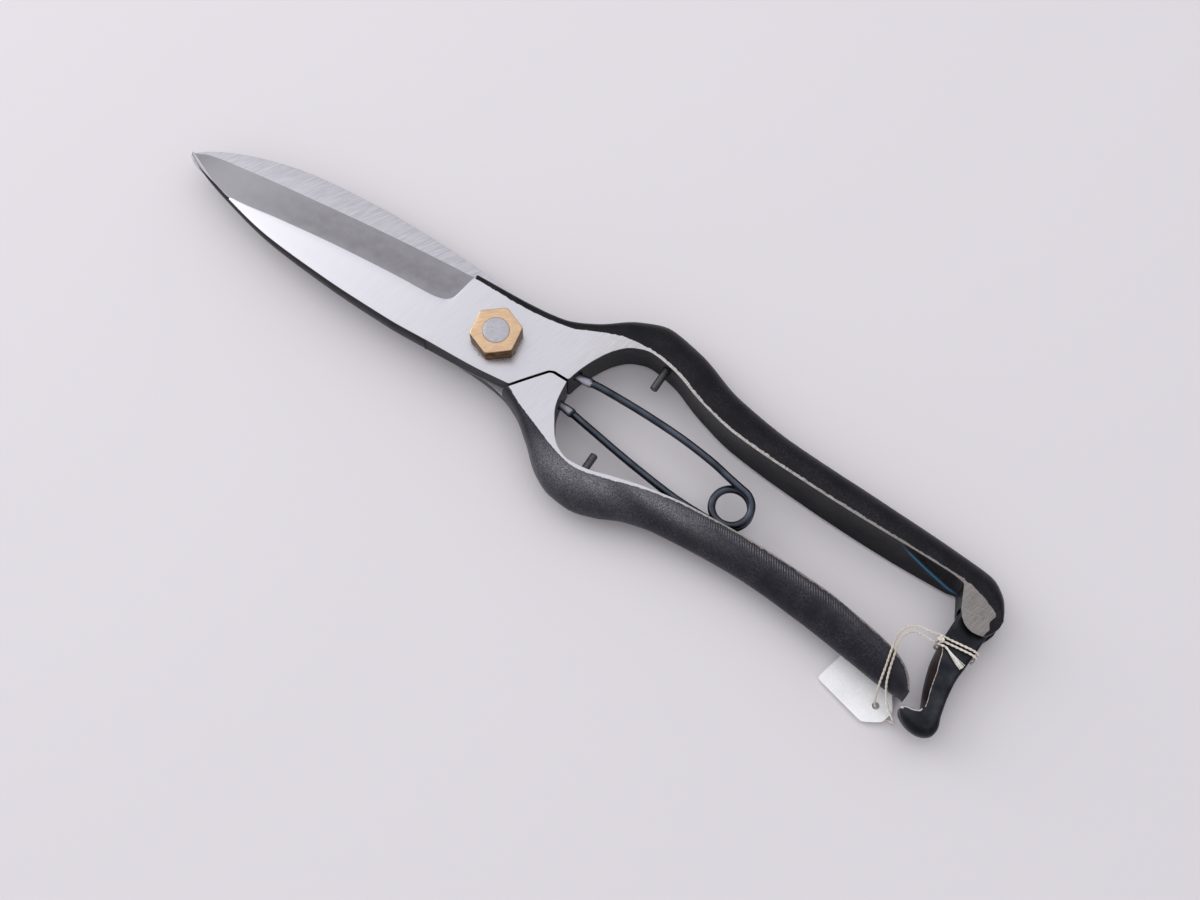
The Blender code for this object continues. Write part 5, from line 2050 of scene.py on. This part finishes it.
@dataclass(frozen=True)
class Lamp:
    """Square soft lamp: its place and width in metres, and its power in watts."""

    name: str
    at: Spot
    size: float
    power: float


@dataclass
class Studio:
    """Pale floor, soft overhead light and the camera at the photograph's angle.

    The floor's sizes, the lens and the sensor are in mm. Other places and sizes are in metres.
    """

    floor_half: float = 3000.0
    floor_rise: float = 1.0 / 133.0
    floor_gap: float = 0.03
    lamps: Sequence[Lamp] = (Lamp("overhead_softbox", (0.18, -0.27, 0.95), 1.4, 3.4),
                             Lamp("side_window", (0.95, 0.05, 0.5), 0.8, 4.0))
    lamp_aim: Spot = (-0.02, 0.0, 0.0)
    lens: float = 57.0
    sensor: float = 36.0
    clip_near: float = 0.01
    eye: Spot = (-0.12539, 0.14227, 0.46890)
    right: Spot = (-0.83581, -0.54902, 0.0)
    up: Spot = (0.51911, -0.79027, 0.32557)
    room_low: str = "#b8b8bc"
    room_high: str = "#eaeaee"
    backdrop: str = "#bfbbbf"

    def floor(self) -> None:
        """Plane that touches the bolt head and the string under the handles."""
        half = self.floor_half
        ring = [(x, y, -self.floor_gap - self.floor_rise * x)
                for x, y in ((-half, -half), (half, -half), (half, half), (-half, half))]
        work = bmesh.new()
        work.faces.new([work.verts.new(Vector(p) * MM) for p in ring])
        finished("floor", mesh_from(work, "floor"), FloorFinish())

    def light(self, lamp: Lamp) -> None:
        """Sets up a lamp that points at the snips.

        Args:
            lamp: the lamp's place, width and power.
        """
        data = bpy.data.lights.new(lamp.name, "AREA")
        data.size = lamp.size
        data.energy = lamp.power
        made = bpy.data.objects.new(lamp.name, data)
        made.location = lamp.at
        aim = Vector(self.lamp_aim) - Vector(lamp.at)
        made.rotation_euler = aim.to_track_quat("-Z", "Y").to_euler()
        bpy.context.scene.collection.objects.link(made)

    def world(self) -> None:
        """Soft room light, paler overhead, with a pale backdrop for the camera and for reflections."""
        world = bpy.data.worlds.new("studio")
        bpy.context.scene.world = world
        world.use_nodes = True
        tree = world.node_tree
        way = add_node(tree, "SeparateXYZ", {0: add_node(tree, "TexCoord", out="Generated")}, 2)
        way = add_node(tree, "MapRange", {0: way, 1: 0.0, 2: 0.9})
        room = add_node(tree, "Mix", {0: way, 6: linear(self.room_low), 7: linear(self.room_high)}, 2,
                        data_type="RGBA")
        seen = add_node(tree, "LightPath", out="Is Camera Ray")
        for ray in ("Is Glossy Ray", "Is Transmission Ray"):
            other = add_node(tree, "LightPath", out=ray)
            seen = add_node(tree, "Math", {0: seen, 1: other}, operation="MAXIMUM")
        colour = add_node(tree, "Mix", {0: seen, 6: room, 7: linear(self.backdrop)}, 2, data_type="RGBA")
        tree.links.new(colour, tree.nodes["Background"].inputs["Color"])

    def camera(self) -> None:
        """Camera with the photograph's place, tilt and angle of view."""
        data = bpy.data.cameras.new("camera")
        data.lens = self.lens
        data.sensor_width = self.sensor
        data.sensor_fit = "HORIZONTAL"
        data.clip_start = self.clip_near
        made = bpy.data.objects.new("camera", data)
        right, up = Vector(self.right).normalized(), Vector(self.up).normalized()
        turn = Matrix((right, up, right.cross(up))).transposed().to_4x4()
        made.matrix_world = Matrix.Translation(self.eye) @ turn
        bpy.context.scene.collection.objects.link(made)
        bpy.context.scene.camera = made

    def build(self) -> None:
        """Sets up the studio."""
        bpy.context.scene.view_settings.view_transform = "Standard"
        self.camera()
        self.floor()
        self.world()
        for lamp in self.lamps:
            self.light(lamp)
        LOG.info("studio ready")


def main() -> None:
    """Builds the studio and every piece."""
    logging.basicConfig(level=logging.INFO, format="%(name)s %(message)s")
    Studio().build()
    TagAndString().build()
    for half, node in ((FRONT, "front_blade_handle"), (REAR, "rear_blade_handle")):
        place(half.build(), half.body, half.slot, node)
    Pivot().build()
    ReturnSpring().build()
    Pegs().build()
    Latch().build()


if __name__ == "__main__":
    main()
